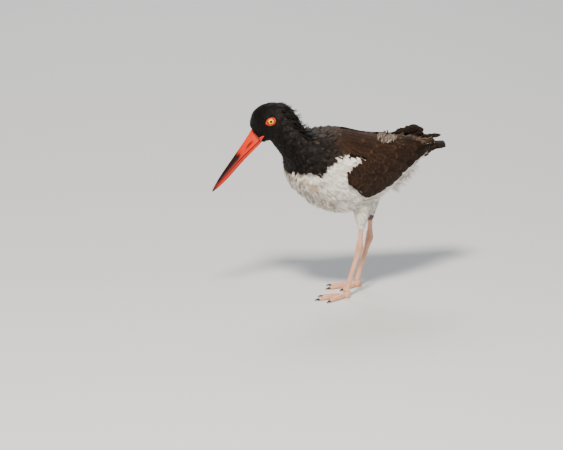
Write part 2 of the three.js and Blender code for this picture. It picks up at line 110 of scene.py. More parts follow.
def on_body(u, v, lift=0.0):
    """A point of the feathered outline: station u, angle v from the back over the left side, lift in mm."""
    u, v = np.broadcast_arrays(np.asarray(u, float), np.asarray(v, float))
    bx, bz, vx, vz, w = np.moveaxis(through(STATIONS, u), -1, 0)
    half = np.hypot(bx - vx, bz - vz) / 2
    c, s = np.cos(v), np.sin(v)
    h = (half + lift) * np.sign(c) * np.abs(c) ** 0.92
    y = -(w + lift) * np.sign(s) * np.abs(s) ** 0.92
    x = (bx + vx) / 2 + (bx - vx) / (2 * half) * h
    z = (bz + vz) / 2 + (bz - vz) / (2 * half) * h
    return turned(x, y, z, u)


def coat_depth(u):
    """Depth of the small feathers in mm: thin on the face, deep on the breast and belly."""
    return 1.0 + 2.4 * smooth((u - 6) / 7)


def mesh_object(name, verts, faces, colours=None, uvs=None):
    """An object from arrays of points and faces, with a colour and an OFBake place for each point."""
    mesh = bpy.data.meshes.new(name)
    mesh.from_pydata(verts.tolist(), [], faces if isinstance(faces, list) else faces.tolist())
    if colours is not None:
        shade = mesh.color_attributes.new("plumage", "FLOAT_COLOR", "POINT")
        rgba = np.concatenate([colours, np.ones((len(colours), 1))], 1)
        shade.data.foreach_set("color", rgba.astype(np.float32).ravel())
    if uvs is not None:
        layer = mesh.uv_layers.new(name="OFBake")
        corners = np.empty(len(mesh.loops), np.int32)
        mesh.loops.foreach_get("vertex_index", corners)
        layer.data.foreach_set("uv", uvs[corners].astype(np.float32).ravel())
    mesh.update()
    obj = bpy.data.objects.new(name, mesh)
    bpy.context.scene.collection.objects.link(obj)
    return obj


def ring_faces(rows, ring):
    """Faces of a closed tube of rings of points, as quads."""
    i, j = np.meshgrid(np.arange(rows - 1), np.arange(ring), indexing="ij")
    k = (j + 1) % ring
    return np.stack([i * ring + j, (i + 1) * ring + j, (i + 1) * ring + k, i * ring + k], -1).reshape(-1, 4)


def capped_faces(rows, ring):
    """The same for a tube whose ends close on two poles, the last two points."""
    faces = ring_faces(rows, ring).tolist()
    poles, last_ring = rows * ring, (rows - 1) * ring
    for j in range(ring):
        k = (j + 1) % ring
        faces.append([poles, j, k])
        faces.append([poles + 1, last_ring + k, last_ring + j])
    return faces


def tube_grid(steps, sides):
    """Places along a tube and angles round it."""
    return np.meshgrid(steps, np.linspace(0, 2 * np.pi, sides, endpoint=False), indexing="ij")


def linear(hex_colour):
    """sRGB hex to linear red, green and blue."""
    c = np.array([int(hex_colour[i:i + 2], 16) / 255 for i in (1, 3, 5)])
    return np.where(c <= 0.04045, c / 12.92, ((c + 0.055) / 1.055) ** 2.4)


# Markings, by formula: black hood, brown back, white below with a spur of white in front of the wing
HOOD_BLACK = linear("#100d0c")
HOOD_FLECK = linear("#3a2f28")
MANTLE_DARK = linear("#1c120c")
MANTLE_BROWN = linear("#2f2015")
BELLY_WHITE = linear("#f6f2ea")
BUFF_STAIN = linear("#8f7f64")
CREAM = linear("#e3cfa6")
CREAM_PATCH = dict(u=14.6, deg=136, wide_u=0.7, wide_deg=7)  # station and degrees, and how far it reaches
HOOD_EDGE = np.array([  # degrees from the back, station where the hood ends
    [0, 15.4], [62, 15.5], [68, 15.3], [74, 15.1], [78, 15.25], [89, 15.0], [100, 14.75], [106, 14.85],
    [110, 14.75], [114, 14.2], [120, 13.7], [137, 13.35], [150, 13.1], [180, 12.9],
])
DARK_TOP = np.array([  # station, degrees from the back down to which the plumage is dark
    [15.2, 70], [16.2, 64], [17.1, 61], [18.1, 60], [19.0, 75], [20.0, 96], [22.2, 97], [23.3, 94],
    [24.4, 100], [25.0, 118],
])


def markings(u, v, salt):
    """Colour of the plumage at a station and angle; salt is a random number for each feather."""
    deg = np.abs(np.degrees(np.arctan2(np.sin(v), np.cos(v))))
    hood = np.interp(deg, HOOD_EDGE[:, 0], HOOD_EDGE[:, 1]) + 0.2 * (salt[0] - 0.5)
    top = np.interp(u, DARK_TOP[:, 0], DARK_TOP[:, 1]) + 6 * (salt[1] - 0.5)
    dark = (u < hood) | (deg < top)
    fleck = (salt[3] > 0.86) * smooth((u - 3) / 8) * (0.3 + 0.7 * salt[2])
    browning = smooth((u - 11.2 - deg / 60) / 2.6) * (0.3 + 0.7 * salt[2])
    upper = HOOD_BLACK * (0.5 + 1.3 * salt[2] ** 2)[..., None]
    upper = upper + (MANTLE_DARK - upper) * browning[..., None]
    upper = upper + (HOOD_FLECK - upper) * fleck[..., None]
    back = smooth((u - 12.4 - deg / 35) / 2.0)[..., None]
    upper = upper + (MANTLE_BROWN * (0.55 + 0.8 * salt[3][..., None]) - upper) * back
    streak = smooth((deg - 104) / 36) * smooth((20.8 - u) / 3) * np.clip(salt[3] * 2.2 - 0.9, 0, 0.9)
    lower = BELLY_WHITE + (BUFF_STAIN - BELLY_WHITE) * streak[..., None]
    patch = np.exp(-((u - CREAM_PATCH["u"]) / CREAM_PATCH["wide_u"]) ** 2
                   - ((deg - CREAM_PATCH["deg"]) / CREAM_PATCH["wide_deg"]) ** 2)
    lower = lower + (CREAM - lower) * (0.8 * patch)[..., None]
    return np.where(dark[..., None], upper, lower * (0.92 + 0.1 * salt[2][..., None]))


BODY_STRIP = (0.14, 0.83)  # where the unwrap of the body starts and how high it is


def bake_place(u, v):
    """The place on the unwrap of the skin for a station and angle, from 0 to 1 each way."""
    around = np.degrees(np.arctan2(np.sin(v), np.cos(v))) / 360 + 0.5
    return np.stack([0.03 + 0.94 * np.asarray(u) / LAST, BODY_STRIP[0] + BODY_STRIP[1] * around], -1)


SKIN_ROWS, SKIN_RING = 150, 120
u, v = tube_grid(np.linspace(0, LAST, SKIN_ROWS), SKIN_RING)
surface = on_body(u, v, -coat_depth(u))
even = [np.full(u.shape, 0.5)] * 4
skin_points = np.concatenate([surface.reshape(-1, 3), surface[:1].mean(1), surface[-1:].mean(1)])
skin_colours = markings(u, v, even).reshape(-1, 3)
skin_colours = np.concatenate([skin_colours, skin_colours[:1], skin_colours[-1:]])
skin_uv = bake_place(u, v).reshape(-1, 2)
skin_uv = np.concatenate([skin_uv, skin_uv[:1], skin_uv[-1:]])
skin = mesh_object("skin", skin_points, capped_faces(SKIN_ROWS, SKIN_RING), skin_colours, skin_uv)

# The feathered thighs grow out of the belly and are part of the same skin
LEGS = {  # mm: y, ankle x and z, top of the thigh x and z, root of the toes x
    "left": dict(y=-21.0, ankle=(10.0, 60.0), top=(14.0, 124.0), toes=-8.5),
    "right": dict(y=23.0, ankle=(44.5, 60.0), top=(46.0, 130.0), toes=27.0),
}
THIGH_ROWS = np.array([  # height, radius along X, radius across, in mm
    [84.5, 3.2, 3.0], [88.0, 4.6, 4.2], [91.0, 5.4, 4.9], [98.0, 8.0, 7.0], [106.0, 10.6, 9.1],
    [116.0, 14.2, 11.5], [124.0, 15.3, 12.3], [130.0, 15.3, 12.3],
])


def on_thigh(side, t, a, lift=0.0):
    """A point of a thigh: t from 0 at the bare leg to 1 at the belly, a round it, lift in mm."""
    leg = LEGS[side]
    row = through(THIGH_ROWS, np.asarray(t, float) * (len(THIGH_ROWS) - 1))
    z, along, across = np.moveaxis(row, -1, 0)
    z = np.minimum(z, leg["top"][1])
    share = (z - leg["ankle"][1]) / (leg["top"][1] - leg["ankle"][1])
    x = leg["ankle"][0] + (leg["top"][0] - leg["ankle"][0]) * share
    x = x + (along + lift) * np.cos(a) + SHIFT_X
    return MM * np.stack([x, leg["y"] + (across + lift) * np.sin(a) + 0 * x, z + 0 * x], -1)


THIGH_STRIP = dict(left=(0.03, 0.02), right=(0.53, 0.02), long=0.44, high=0.09)


def thigh_place(side, t, a):
    """The place of a thigh's point on the unwrap, below the body's."""
    start = THIGH_STRIP[side]
    around = (np.asarray(a) / (2 * np.pi)) % 1
    return np.stack([start[0] + THIGH_STRIP["long"] * t, start[1] + THIGH_STRIP["high"] * around], -1)


THIGH_STEPS, THIGH_RING = 24, 28
pieces = [skin]
for side in LEGS:
    t, a = tube_grid(np.linspace(0, 1, THIGH_STEPS), THIGH_RING)
    grid = on_thigh(side, t, a, -1.2 * smooth(t / 0.3))
    points = np.concatenate([grid.reshape(-1, 3), grid[:1].mean(1), grid[-1:].mean(1)])
    faces = [f[::-1] for f in capped_faces(THIGH_STEPS, THIGH_RING)]
    white = np.tile(BELLY_WHITE * 0.95, (len(points), 1))
    place = thigh_place(side, t, a).reshape(-1, 2)
    place = np.concatenate([place, place[:1], place[-1:]])
    pieces.append(mesh_object("thigh_skin_" + side, points, faces, white, place))
bpy.ops.object.select_all(action="DESELECT")
bpy.context.view_layer.objects.active = skin
for piece in pieces:
    piece.select_set(True)
bpy.ops.object.join()
for piece in bpy.context.selected_objects:
    piece.select_set(False)
shell = bmesh.new()
shell.from_mesh(skin.data)
bmesh.ops.recalc_face_normals(shell, faces=shell.faces)
places = shell.loops.layers.uv["OFBake"]
for face in shell.faces:
    face.smooth = True
    heights = [loop[places].uv.y for loop in face.loops]
    strip = BODY_STRIP[1] if min(heights) > 0.12 else THIGH_STRIP["high"]
    if max(heights) - min(heights) > strip / 2:  # across the seam the low corners take the far edge
        for loop in face.loops:
            if loop[places].uv.y < max(heights) - strip / 2:
                loop[places].uv.y += strip
shell.to_mesh(skin.data)
shell.free()


def node(tree, kind, inputs=None, **settings):
    """Adds a node with its settings, and values or links for its inputs."""
    made = tree.nodes.new(kind)
    for key, value in settings.items():
        setattr(made, key, value)
    for key, value in (inputs or {}).items():
        if isinstance(value, bpy.types.NodeSocket):
            tree.links.new(value, made.inputs[key])
        else:
            made.inputs[key].default_value = value
    return made


def new_material(name, roughness, specular=0.5):
    """A material with a Principled shader ready to be linked."""
    material = bpy.data.materials.new(name)
    material.use_nodes = True
    shader = material.node_tree.nodes["Principled BSDF"]
    shader.inputs["Roughness"].default_value = roughness
    shader.inputs["Specular IOR Level"].default_value = specular
    return material, material.node_tree, shader


def painted(tree, shader, factor=None):
    """Gives the shader the colours of the mesh's own points, times a factor from another node."""
    colour = node(tree, "ShaderNodeAttribute", attribute_name="plumage").outputs["Color"]
    if factor is not None:
        scaled = node(tree, "ShaderNodeVectorMath", {0: colour, "Scale": factor}, operation="SCALE")
        colour = scaled.outputs["Vector"]
    tree.links.new(colour, shader.inputs["Base Color"])


def bumped(tree, shader, height, depth_mm, strength=1.0):
    """Roughens the shader's surface by a height, as deep as the real grain."""
    bump = node(tree, "ShaderNodeBump", {"Height": height, "Strength": strength, "Distance": depth_mm * MM})
    tree.links.new(bump.outputs["Normal"], shader.inputs["Normal"])


def noise(tree, per_metre, detail):
    """Even noise fixed to the object, as a value from 0 to 1."""
    where = node(tree, "ShaderNodeTexCoord")
    grain = node(tree, "ShaderNodeTexNoise", {"Vector": where.outputs["Object"], "Scale": per_metre,
                                              "Detail": detail})
    return grain.outputs["Fac"]


FEATHER_GLOSS = 0.16


# Feather keratin: matt, with a soft sheen along the barbs, coloured feather by feather
def plumage_material(name, roughness, sheen, bump_mm):
    material, tree, shader = new_material(name, roughness, FEATHER_GLOSS)
    shader.inputs["Sheen Weight"].default_value = sheen
    shader.inputs["Sheen Roughness"].default_value = 0.5
    down = noise(tree, 900.0, 2.0)
    tint = node(tree, "ShaderNodeMapRange", {"Value": down, "To Min": 0.8, "To Max": 1.2})
    painted(tree, shader, tint.outputs["Result"])
    bumped(tree, shader, down, bump_mm)
    return material


DOWN = plumage_material("feather_down", 0.9, 0.02, 0.4)
skin.data.materials.clear()
skin.data.materials.append(DOWN)
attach(skin, "root")
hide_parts("head", "neck", "torso", "thigh_left", "thigh_right")

# Small body feathers
# Each is a limp, slightly cupped vane of a few millimetres to a centimetre, rooted in the skin and lying
# back over the next like a tile. They are joined meshes, one for each region, along the lie of the coat.
def vane_template(rows, columns, ragged, rng):
    """A leaf-shaped vane of 1 by 1: points (along, sideways, height) and faces."""
    s = np.linspace(0, 1, rows + 1)
    width = np.interp(s, [0, 0.15, 0.45, 0.75, 0.92, 1.0], [0.16, 0.6, 1.0, 0.92, 0.55, 0.12])
    w = np.linspace(-1, 1, columns + 1)
    along = np.repeat(s[:, None], columns + 1, 1)
    fringe = ragged * rng.uniform(-1, 1, columns + 1)
    along = along + smooth((s[:, None] - 0.55) / 0.45) * fringe[None, :]
    sideways = 0.5 * width[:, None] * w[None, :]
    height = -0.22 * (sideways * 2) ** 2 + 0.05 * np.sin(np.pi * s)[:, None]
    points = np.stack([along, sideways, height], -1).reshape(-1, 3)
    i, j = np.meshgrid(np.arange(rows), np.arange(columns), indexing="ij")
    n = columns + 1
    faces = np.stack([i * n + j, (i + 1) * n + j, (i + 1) * n + j + 1, i * n + j + 1], -1).reshape(-1, 4)
    return points, faces


def wisp_template(barbs, fan, thick, rng):
    """A loose feather of separate barbs that fan from the root, each a narrow tapered strip."""
    points, faces = [], []
    for k in range(barbs):
        turn = (k / (barbs - 1) - 0.5) * fan + rng.uniform(-0.06, 0.06)
        reach = 1.0 - 0.35 * abs(turn) - rng.uniform(0, 0.2)
        base = len(points)
        for s, half in ((0.0, thick), (0.55, thick * 0.85), (1.0, thick * 0.15)):
            spread = 0.55 * turn * s ** 1.25
            lift = 0.06 * math.sin(math.pi * s) - 0.25 * spread ** 2 + rng.uniform(-0.02, 0.02)
            points += [(s * reach, spread - half, lift), (s * reach, spread + half, lift)]
        for row in range(2):
            a = base + 2 * row
            faces.append((a, a + 2, a + 3, a + 1))
    return np.array(points), np.array(faces)


def even_spread(count):
    """Points spread evenly over a square, without rows or gaps."""
    k = np.arange(count)
    return (0.5 + k * 0.7548776662) % 1, (0.5 + k * 0.5698402910) % 1


BODY_GRID = (260, 240)  # stations and angles at which the body's surface is measured


def scatter(count, u_range, deg_range, seed):
    """Evenly spread places on the body between two stations and two angles from the back, on both sides."""
    ua, va = np.meshgrid(np.linspace(*u_range, BODY_GRID[0]), np.linspace(-np.pi, np.pi, BODY_GRID[1]),
                         indexing="ij")
    p = on_body(ua, va)
    du, dv = np.gradient(p, axis=0), np.gradient(p, axis=1)
    deg = np.abs(np.degrees(va))
    inside = ((deg >= deg_range[0]) & (deg <= deg_range[1])) + 1e-6
    share = np.linalg.norm(np.cross(du, dv), axis=-1) * inside
    rows = np.cumsum(share.sum(1))
    rows = np.concatenate([[0], rows / rows[-1]])
    first, second = even_spread(count)
    at = np.interp(first, rows, np.arange(len(rows))) - 0.5
    i = np.clip(at.round().astype(int), 0, len(share) - 1)
    columns = np.cumsum(share, 1)
    columns = columns / columns[:, -1:]
    j = np.array([np.searchsorted(columns[row], s) for row, s in zip(i, second)])
    rng = np.random.default_rng(seed)
    u = np.interp(at, np.arange(BODY_GRID[0]), ua[:, 0])
    v = va[0, np.clip(j, 0, BODY_GRID[1] - 1)] + rng.uniform(-0.5, 0.5, count) * (va[0, 1] - va[0, 0])
    return u, v, rng


def lay_feathers(name, root, along, normal, length, width, pitch, templates, colours, places, tips,
                 material):
    """One mesh of many feathers: each template is turned to its place and tipped up by its pitch."""
    along = unit(along)
    side = unit(np.cross(normal, along))
    normal = np.cross(along, side)
    ahead = along * np.cos(pitch)[:, None] + normal * np.sin(pitch)[:, None]
    up = np.cross(ahead, side)
    verts, faces, shades, uvs, start = [], [], [], [], 0
    pick = np.arange(len(root)) % len(templates)
    for k, (points, quads) in enumerate(templates):
        m = pick == k
        count = int(m.sum())
        x = points[None, :, 0, None] * length[m][:, None, None] * ahead[m][:, None, :]
        y = points[None, :, 1, None] * width[m][:, None, None] * side[m][:, None, :]
        z = points[None, :, 2, None] * width[m][:, None, None] * up[m][:, None, :]
        verts.append((root[m][:, None, :] + x + y + z).reshape(-1, 3))
        faces.append((quads[None] + (np.arange(count) * len(points))[:, None, None] + start).reshape(-1, 4))
        start += count * len(points)
        edge = smooth((points[:, 0] - 0.62) / 0.3)[None, :, None]
        shades.append((colours[m][:, None, :] * (1 - edge) + tips[m][:, None, :] * edge).reshape(-1, 3))
        patch = (points[:, :2] - [0.5, 0.0]) * 0.003
        uvs.append((places[m][:, None, :] + patch[None]).reshape(-1, 2))
    obj = mesh_object(name, np.concatenate(verts), np.concatenate(faces), np.concatenate(shades),
                      np.concatenate(uvs))
    obj.data.materials.append(material)
    for face in obj.data.polygons:
        face.use_smooth = True
    return obj


EYE = dict(x=-97.0, z=225.4, y=12.4, r=6.1, lids_y=18.0)  # mm, in the head's straight frame


def eye_distance(u, v):
    """Distance in mm from the middle of the nearer eye's opening."""
    gap = []
    for side in (-1, 1):
        centre = turned(EYE["x"], side * EYE["lids_y"], EYE["z"], np.zeros(1))[0]
        gap.append(np.linalg.norm(on_body(u, v) - centre, axis=-1) / MM)
    return np.minimum(*gap)


def body_frame(u, v, lift):
    """Root point, direction of the lie and outward normal of the coat."""
    eps = 0.02
    root = on_body(u, v, lift)
    along = on_body(np.minimum(u + eps, LAST), v, lift) - on_body(np.maximum(u - eps, 0), v, lift)
    around = on_body(u, v + eps, lift) - on_body(u, v - eps, lift)
    normal = unit(np.cross(around, along))
    outward = on_body(u, v, lift + 1.0) - root
    flip = np.sign(np.sum(normal * outward, -1, keepdims=True))
    return root, along, normal * flip


def clumps(u, v):
    """Where the coat gathers and lifts, from -1 to 1, in patches about a centimetre long."""
    wave = np.sin(6.3 * u + 2.1 * np.sin(7 * v)) * np.sin(9 * v + 1.7 * np.sin(2.9 * u))
    return 0.7 * wave + 0.3 * np.sin(17 * v + 5.1 * u)


BARBED = plumage_material("barbed_feather_keratin", 0.62, 0.04, 0.15)
COATS = [
    # name, slot, feathers, stations, degrees from the back, length and width in mm, pitch in degrees,
    # kind, seed
    ("face_feathers", "black_feathers", 6600, (0.4, 6.6), (0, 180), 3.4, 2.3, 15, "wisp", 3),
    ("nape_feathers", "black_feathers", 4200, (6.2, 12.2), (0, 100), 6.5, 3.4, 17, "wisp", 4),
    ("throat_feathers", "black_feathers", 4200, (6.2, 12.2), (80, 180), 6.5, 3.4, 17, "wisp", 5),
    ("neck_base_feathers", "black_feathers", 5200, (11.6, 15.8), (40, 180), 10.0, 5.0, 16, "wisp", 6),
    ("mantle_feathers", "black_feathers", 3400, (11.6, 18.6), (0, 74), 11.0, 6.5, 12, "vane", 7),
    ("breast_feathers", "white_feathers", 5200, (13.0, 17.6), (76, 180), 13.0, 5.5, 13, "wisp", 8),
    ("belly_feathers", "white_feathers", 4600, (17.2, 22.0), (86, 180), 14.0, 5.5, 13, "wisp", 9),
    ("rump_feathers", "black_feathers", 2000, (18.0, 25.0), (0, 42), 14.0, 7.0, 17, "vane", 10),
    ("undertail_feathers", "white_feathers", 2400, (21.4, 24.6), (88, 180), 12.0, 5.0, 12, "wisp", 12),
    ("tail_covert_feathers", "black_feathers", 900, (23.4, 25.0), (0, 125), 13.0, 6.0, 9, "vane", 13),
]
COAT_ROOT = 0.9  # where feathers are rooted, as a share of the coat's depth
BARE_ROUND_EYE = 5.8  # mm
BOW, SWAY = 0.5, 0.35  # how far single feathers and whole patches turn off the lie, in radians
WORN_TIP = linear("#8a6d55")
WORN_FROM = 14.5  # station behind which the dark feathers have worn tips
BRIGHT = 0.3  # a white feather's tip isn't worn brown
template_rng = np.random.default_rng(11)
WISPS = [wisp_template(7, 1.15, 0.07, template_rng) for k in range(5)]
VANES = [vane_template(4, 4, 0.07, template_rng) for k in range(5)]
for name, slot, count, u_range, deg_range, length, width, pitch, kind, seed in COATS:
    u, v, rng = scatter(count, u_range, deg_range, seed)
    keep = eye_distance(u, v) > BARE_ROUND_EYE
    u, v = u[keep], v[keep]
    salt = rng.uniform(0, 1, (8, len(u)))
    root, along, normal = body_frame(u, v, -coat_depth(u) * COAT_ROOT)
    lifted = clumps(u, v) * smooth((u - 2) / 6)
    sway = (salt[4] - 0.5) * BOW + SWAY * np.sin(5 * u + 11 * v)
    along = unit(along)
    side = np.cross(normal, along)
    along = along * np.cos(sway)[:, None] + side * np.sin(sway)[:, None]
    size = 0.75 + 0.5 * salt[5]
    tilt = np.radians(pitch) * (0.6 + 0.8 * salt[6] + 0.6 * lifted)
    reach = 0.55 * length * size * MM / np.linalg.norm(on_body(u + 0.5, v) - on_body(u - 0.5, v), axis=-1)
    colours = markings(np.minimum(u + reach, LAST), v, salt[:4])
    pale = (0.3 * salt[1] ** 2 * smooth((u - WORN_FROM) / 2))[:, None]
    tips = colours * (1 - pale) + WORN_TIP * pale
    bright = colours.mean(1) > BRIGHT
    tips[bright] = colours[bright]
    coat = lay_feathers(name, root, along, normal, length * size * MM, width * size * MM, tilt,
                        WISPS if kind == "wisp" else VANES, colours, bake_place(u, v), tips, BARBED)
    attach(coat, "root")

# Ruffled nape
# Narrow black feathers that the breeze gathers into points, standing off the back of the crown and the
# neck. Each point is a few slim wisps with one root and one slant, laid like the other small feathers.
rng = np.random.default_rng(15)
POINTS, PER_POINT = 88, 7
RUFFLE_FROM, RUFFLE_LONG = 6.6, 5.0  # stations
RUFFLE_SIDE, RUFFLE_WIDE = -48, 104  # degrees from the back
ROOT_DEPTH = -1.2  # mm under the feathered outline
first, second = even_spread(POINTS)
u = np.repeat(RUFFLE_FROM + RUFFLE_LONG * first, PER_POINT)
v = np.repeat(np.radians(RUFFLE_SIDE + RUFFLE_WIDE * second), PER_POINT)
steep = np.repeat(np.radians(rng.uniform(24, 70, POINTS)), PER_POINT)
turn = np.repeat(rng.uniform(-0.35, 0.35, POINTS), PER_POINT)[:, None]
count = POINTS * PER_POINT
root, along, normal = body_frame(u + rng.normal(0, 0.06, count), v + rng.normal(0, 0.03, count), ROOT_DEPTH)
along = unit(along)
along = along + np.cross(normal, along) * turn
NARROW = [wisp_template(3, 0.22, 0.13, rng) for k in range(4)]
shade = HOOD_BLACK * rng.uniform(0.6, 2.0, (count, 1))
ruffle = lay_feathers("nape_ruffle", root, along, normal, rng.uniform(6, 10, count) * MM,
                      rng.uniform(1.5, 2.3, count) * MM, steep + rng.normal(0, 0.04, count), NARROW, shade,
                      bake_place(u, v), shade, BARBED)
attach(ruffle, "root")

# Tuft on the back
# Pale downy plumes between the wing's coverts on the near side, blown up so that their grey-brown down
# shows. Each is an open wisp that rises from the wing's surface and leans a little backwards.
PLUME_GREY = linear("#9d9186")
rng = np.random.default_rng(17)
BACK_TUFT = 70
u = rng.uniform(19.7, 21.3, BACK_TUFT)
v = np.radians(rng.uniform(24, 38, BACK_TUFT))
root = on_body(u, v, 2.0)
rise = np.array([0.3, 0.0, 1.0]) + rng.normal(0, 0.22, (BACK_TUFT, 3))
PLUMES = [wisp_template(6, 0.9, 0.06, rng) for k in range(4)]
facing = np.array([-0.8, -0.4, 0.5]) + 0 * rise
shade = PLUME_GREY * rng.uniform(0.25, 1.1, (BACK_TUFT, 1))
tuft = lay_feathers("back_tuft", root, rise, facing, rng.uniform(7, 13, BACK_TUFT) * MM,
                    rng.uniform(4, 6, BACK_TUFT) * MM, np.zeros(BACK_TUFT), PLUMES, shade, bake_place(u, v),
                    shade, BARBED)
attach(tuft, "root")

# Tuft below the vent
# Loose white down that hangs clear of the wing's rear edge, parted into strands by the breeze. The wisps
# fan out from the skin under the tail, each with many fine barbs and a face of its own.
rng = np.random.default_rng(16)
TUFT = 320
u = rng.uniform(21.0, 22.7, TUFT)
v = np.pi + rng.normal(0, 0.6, TUFT)
root, along, normal = body_frame(u, v, -2.0)
hang = np.array([0.8, 0.0, -0.6]) + rng.normal(0, 0.33, (TUFT, 3))
DOWNY = [wisp_template(9, 1.3, 0.03, rng) for k in range(5)]
shade = BELLY_WHITE * rng.uniform(0.8, 1.0, (TUFT, 1))
facing = np.array([0.7, 0.0, 0.7]) + rng.normal(0, 0.4, (TUFT, 3))
tuft = lay_feathers("vent_tuft", root, hang, facing, rng.uniform(8, 19, TUFT) * MM,
                    rng.uniform(5, 8, TUFT) * MM, np.zeros(TUFT), DOWNY, shade, bake_place(u, v), shade,
                    BARBED)
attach(tuft, "root")

# Feathers of the thighs
# Short loose white feathers from the belly down to the bare leg, a few of them stained, and darkened with
# painted shade round the top of the far shank. They point down the limb and grow smaller towards its bare
# end.
THIGH_FEATHERS = 900
THIGH_LENGTH, THIGH_WIDTH = 7.0, 4.0  # mm
# painted shade on the far thigh: its lowest feathers take a grey-brown shadow colour
FAR_THIGH_PAINTED_SHADE = dict(colour=linear("#7b6662"), below=0.36)  # below that share of the far thigh
for side, leg in LEGS.items():
    rng = np.random.default_rng(21 if side == "left" else 22)
    count = THIGH_FEATHERS
    first, second = even_spread(count)
    t = 1 - 0.97 * first ** 1.2
    a = 2 * np.pi * second
    root = on_thigh(side, t, a, -0.9 * smooth(t / 0.3))
    along = on_thigh(side, t - 0.02, a) - on_thigh(side, t + 0.02, a)
    normal = on_thigh(side, t, a, 1.0) - on_thigh(side, t, a)
    size = (0.45 + 0.55 * smooth(t / 0.5)) * rng.uniform(0.8, 1.2, count)
    shade = BELLY_WHITE * rng.uniform(0.8, 1.0, (count, 1))
    stained = rng.uniform(0, 1, (count, 1)) < 0.12
    shade = np.where(stained, shade * 0.6 + BUFF_STAIN * 0.4, shade)
    # painted shade round the top of the far shank
    if side == "right":
        in_far_thigh_shade = (t + rng.uniform(-0.12, 0.1, count))[:, None] < FAR_THIGH_PAINTED_SHADE["below"]
        shade = np.where(in_far_thigh_shade, FAR_THIGH_PAINTED_SHADE["colour"], shade)
    coat = lay_feathers("thigh_feathers_" + side, root, along, normal, THIGH_LENGTH * size * MM,
                        THIGH_WIDTH * size * MM, np.radians(rng.uniform(8, 20, count)), WISPS, shade,
                        thigh_place(side, t, a), shade, BARBED)
    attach(coat, "root")

# Flight feathers and their coverts
# Stiff overlapping vanes of dark brown keratin on a raised shaft, worn pale along their edges. Each tier
# lies over the longer one below it, and the scapulars lie over them all.
VANE_ROWS, VANE_COLUMNS = 16, 10
# Tiers on the body: feathers, first and last root, first and last tip as (station, degrees from the back),
# bulge of the row of tips in degrees, width, lift of the root and of the tip in mm, tone
WING_TIERS = [
    (6, (19.6, 96), (20.2, 58), (24.3, 84), (25.0, 44), 2, 12, 2.0, 3.0, 0.45),
    (10, (17.4, 89), (20.6, 60), (19.0, 113), (22.9, 90), 11, 13, 2.2, 3.4, 0.55),
    (12, (17.0, 88), (20.4, 52), (18.2, 104), (22.6, 76), 8, 12, 2.6, 3.8, 0.62),
    (12, (16.9, 87), (19.4, 54), (17.8, 99), (20.9, 68), 5, 9.5, 3.0, 4.0, 0.7),
    (13, (16.75, 86), (18.8, 57), (17.3, 96), (19.8, 63), 4, 7.5, 3.2, 4.2, 0.75),
    (12, (16.6, 85), (18.4, 58), (17.0, 92), (19.0, 62), 3, 6, 3.2, 4.2, 0.85),
    (6, (19.0, 50), (20.0, 20), (23.2, 66), (24.3, 30), 3, 14, 2.2, 3.2, 0.6),
    (10, (17.4, 53), (18.6, 12), (20.6, 58), (22.6, 22), 3, 12, 2.3, 3.3, 0.75),
    (12, (16.2, 52), (17.2, 6), (18.5, 55), (20.6, 14), 2, 10, 2.2, 3.2, 0.9),
    (12, (15.4, 53), (16.0, 6), (17.2, 56), (18.6, 10), 2, 7.5, 1.6, 2.6, 1.0),
]
BROWN = linear("#2f1e13")
BROWN_WORN = linear("#6e5541")


def vane_sheet(line, across, normal, width, droop, tone, rng, notch=0.1):
    """One vane as a grid of points along its shaft, cupped, with a ridge for the shaft and a fringe."""
    rows, columns = VANE_ROWS, VANE_COLUMNS
    t = np.linspace(0, 1, rows + 1)
    rounded = np.sqrt(np.clip(1 - (np.maximum(0, t - 0.72) / 0.285) ** 2, 0.02, 1))
    share = (0.45 + 0.55 * smooth(t / 0.5)) * rounded
    w = np.linspace(-1, 1, columns + 1)
    half = 0.5 * width * share
    fringe = 1 + notch * rng.uniform(-0.5, 0.5, (rows + 1, 1)) * (np.abs(w) > 0.9)
    off = half[:, None] * w[None, :] * fringe
    cup = -droop * (share[:, None] * w[None, :]) ** 2
    ridge = 0.35 * MM * np.exp(-(w / 0.14) ** 2)[None, :] * (1 - 0.7 * t[:, None])
    points = line[:, None, :] + across[:, None, :] * off[..., None]
    points = points + normal[:, None, :] * (cup + ridge)[..., None]
    edge = np.maximum(smooth((np.abs(w)[None, :] - 0.7) / 0.3) * 0.55, smooth((t[:, None] - 0.86) / 0.14))
    edge = edge * smooth(t[:, None] / 0.3) * (0.1 + 0.55 * rng.uniform() * min(tone, 1.0))
    shade = BROWN * tone * rng.uniform(0.7, 1.35)
    mottle = 1 + 0.25 * rng.uniform(-1, 1, (rows + 1, columns + 1, 1))
    colours = (shade * (1 - edge[..., None]) + BROWN_WORN * min(tone, 1.1) * edge[..., None]) * mottle
    colours = colours * (1 - 0.35 * np.exp(-(w / 0.1) ** 2))[None, :, None]
    barbs = np.stack([np.repeat(t[:, None], columns + 1, 1), np.repeat(w[None, :], rows + 1, 0)], -1)
    return points.reshape(-1, 3), colours.reshape(-1, 3), barbs.reshape(-1, 2)


def laid_line(sign, root, tip, lift_root, lift_tip):
    """Points, sideways directions and normals of a vane that lies along the body."""
    t = np.linspace(0, 1, VANE_ROWS + 1)
    u = root[0] + (tip[0] - root[0]) * t
    v = np.radians(root[1] + (tip[1] - root[1]) * t) * sign
    lift = lift_root + (lift_tip - lift_root) * t ** 0.6
    line = on_body(u, v, lift)
    along = np.gradient(line, axis=0)
    outward = on_body(u, v, lift + 1.0) - line
    across = unit(np.cross(outward, along))
    normal = unit(np.cross(across, along))
    normal *= np.sign(np.sum(normal * outward, -1, keepdims=True))
    return line, across, normal


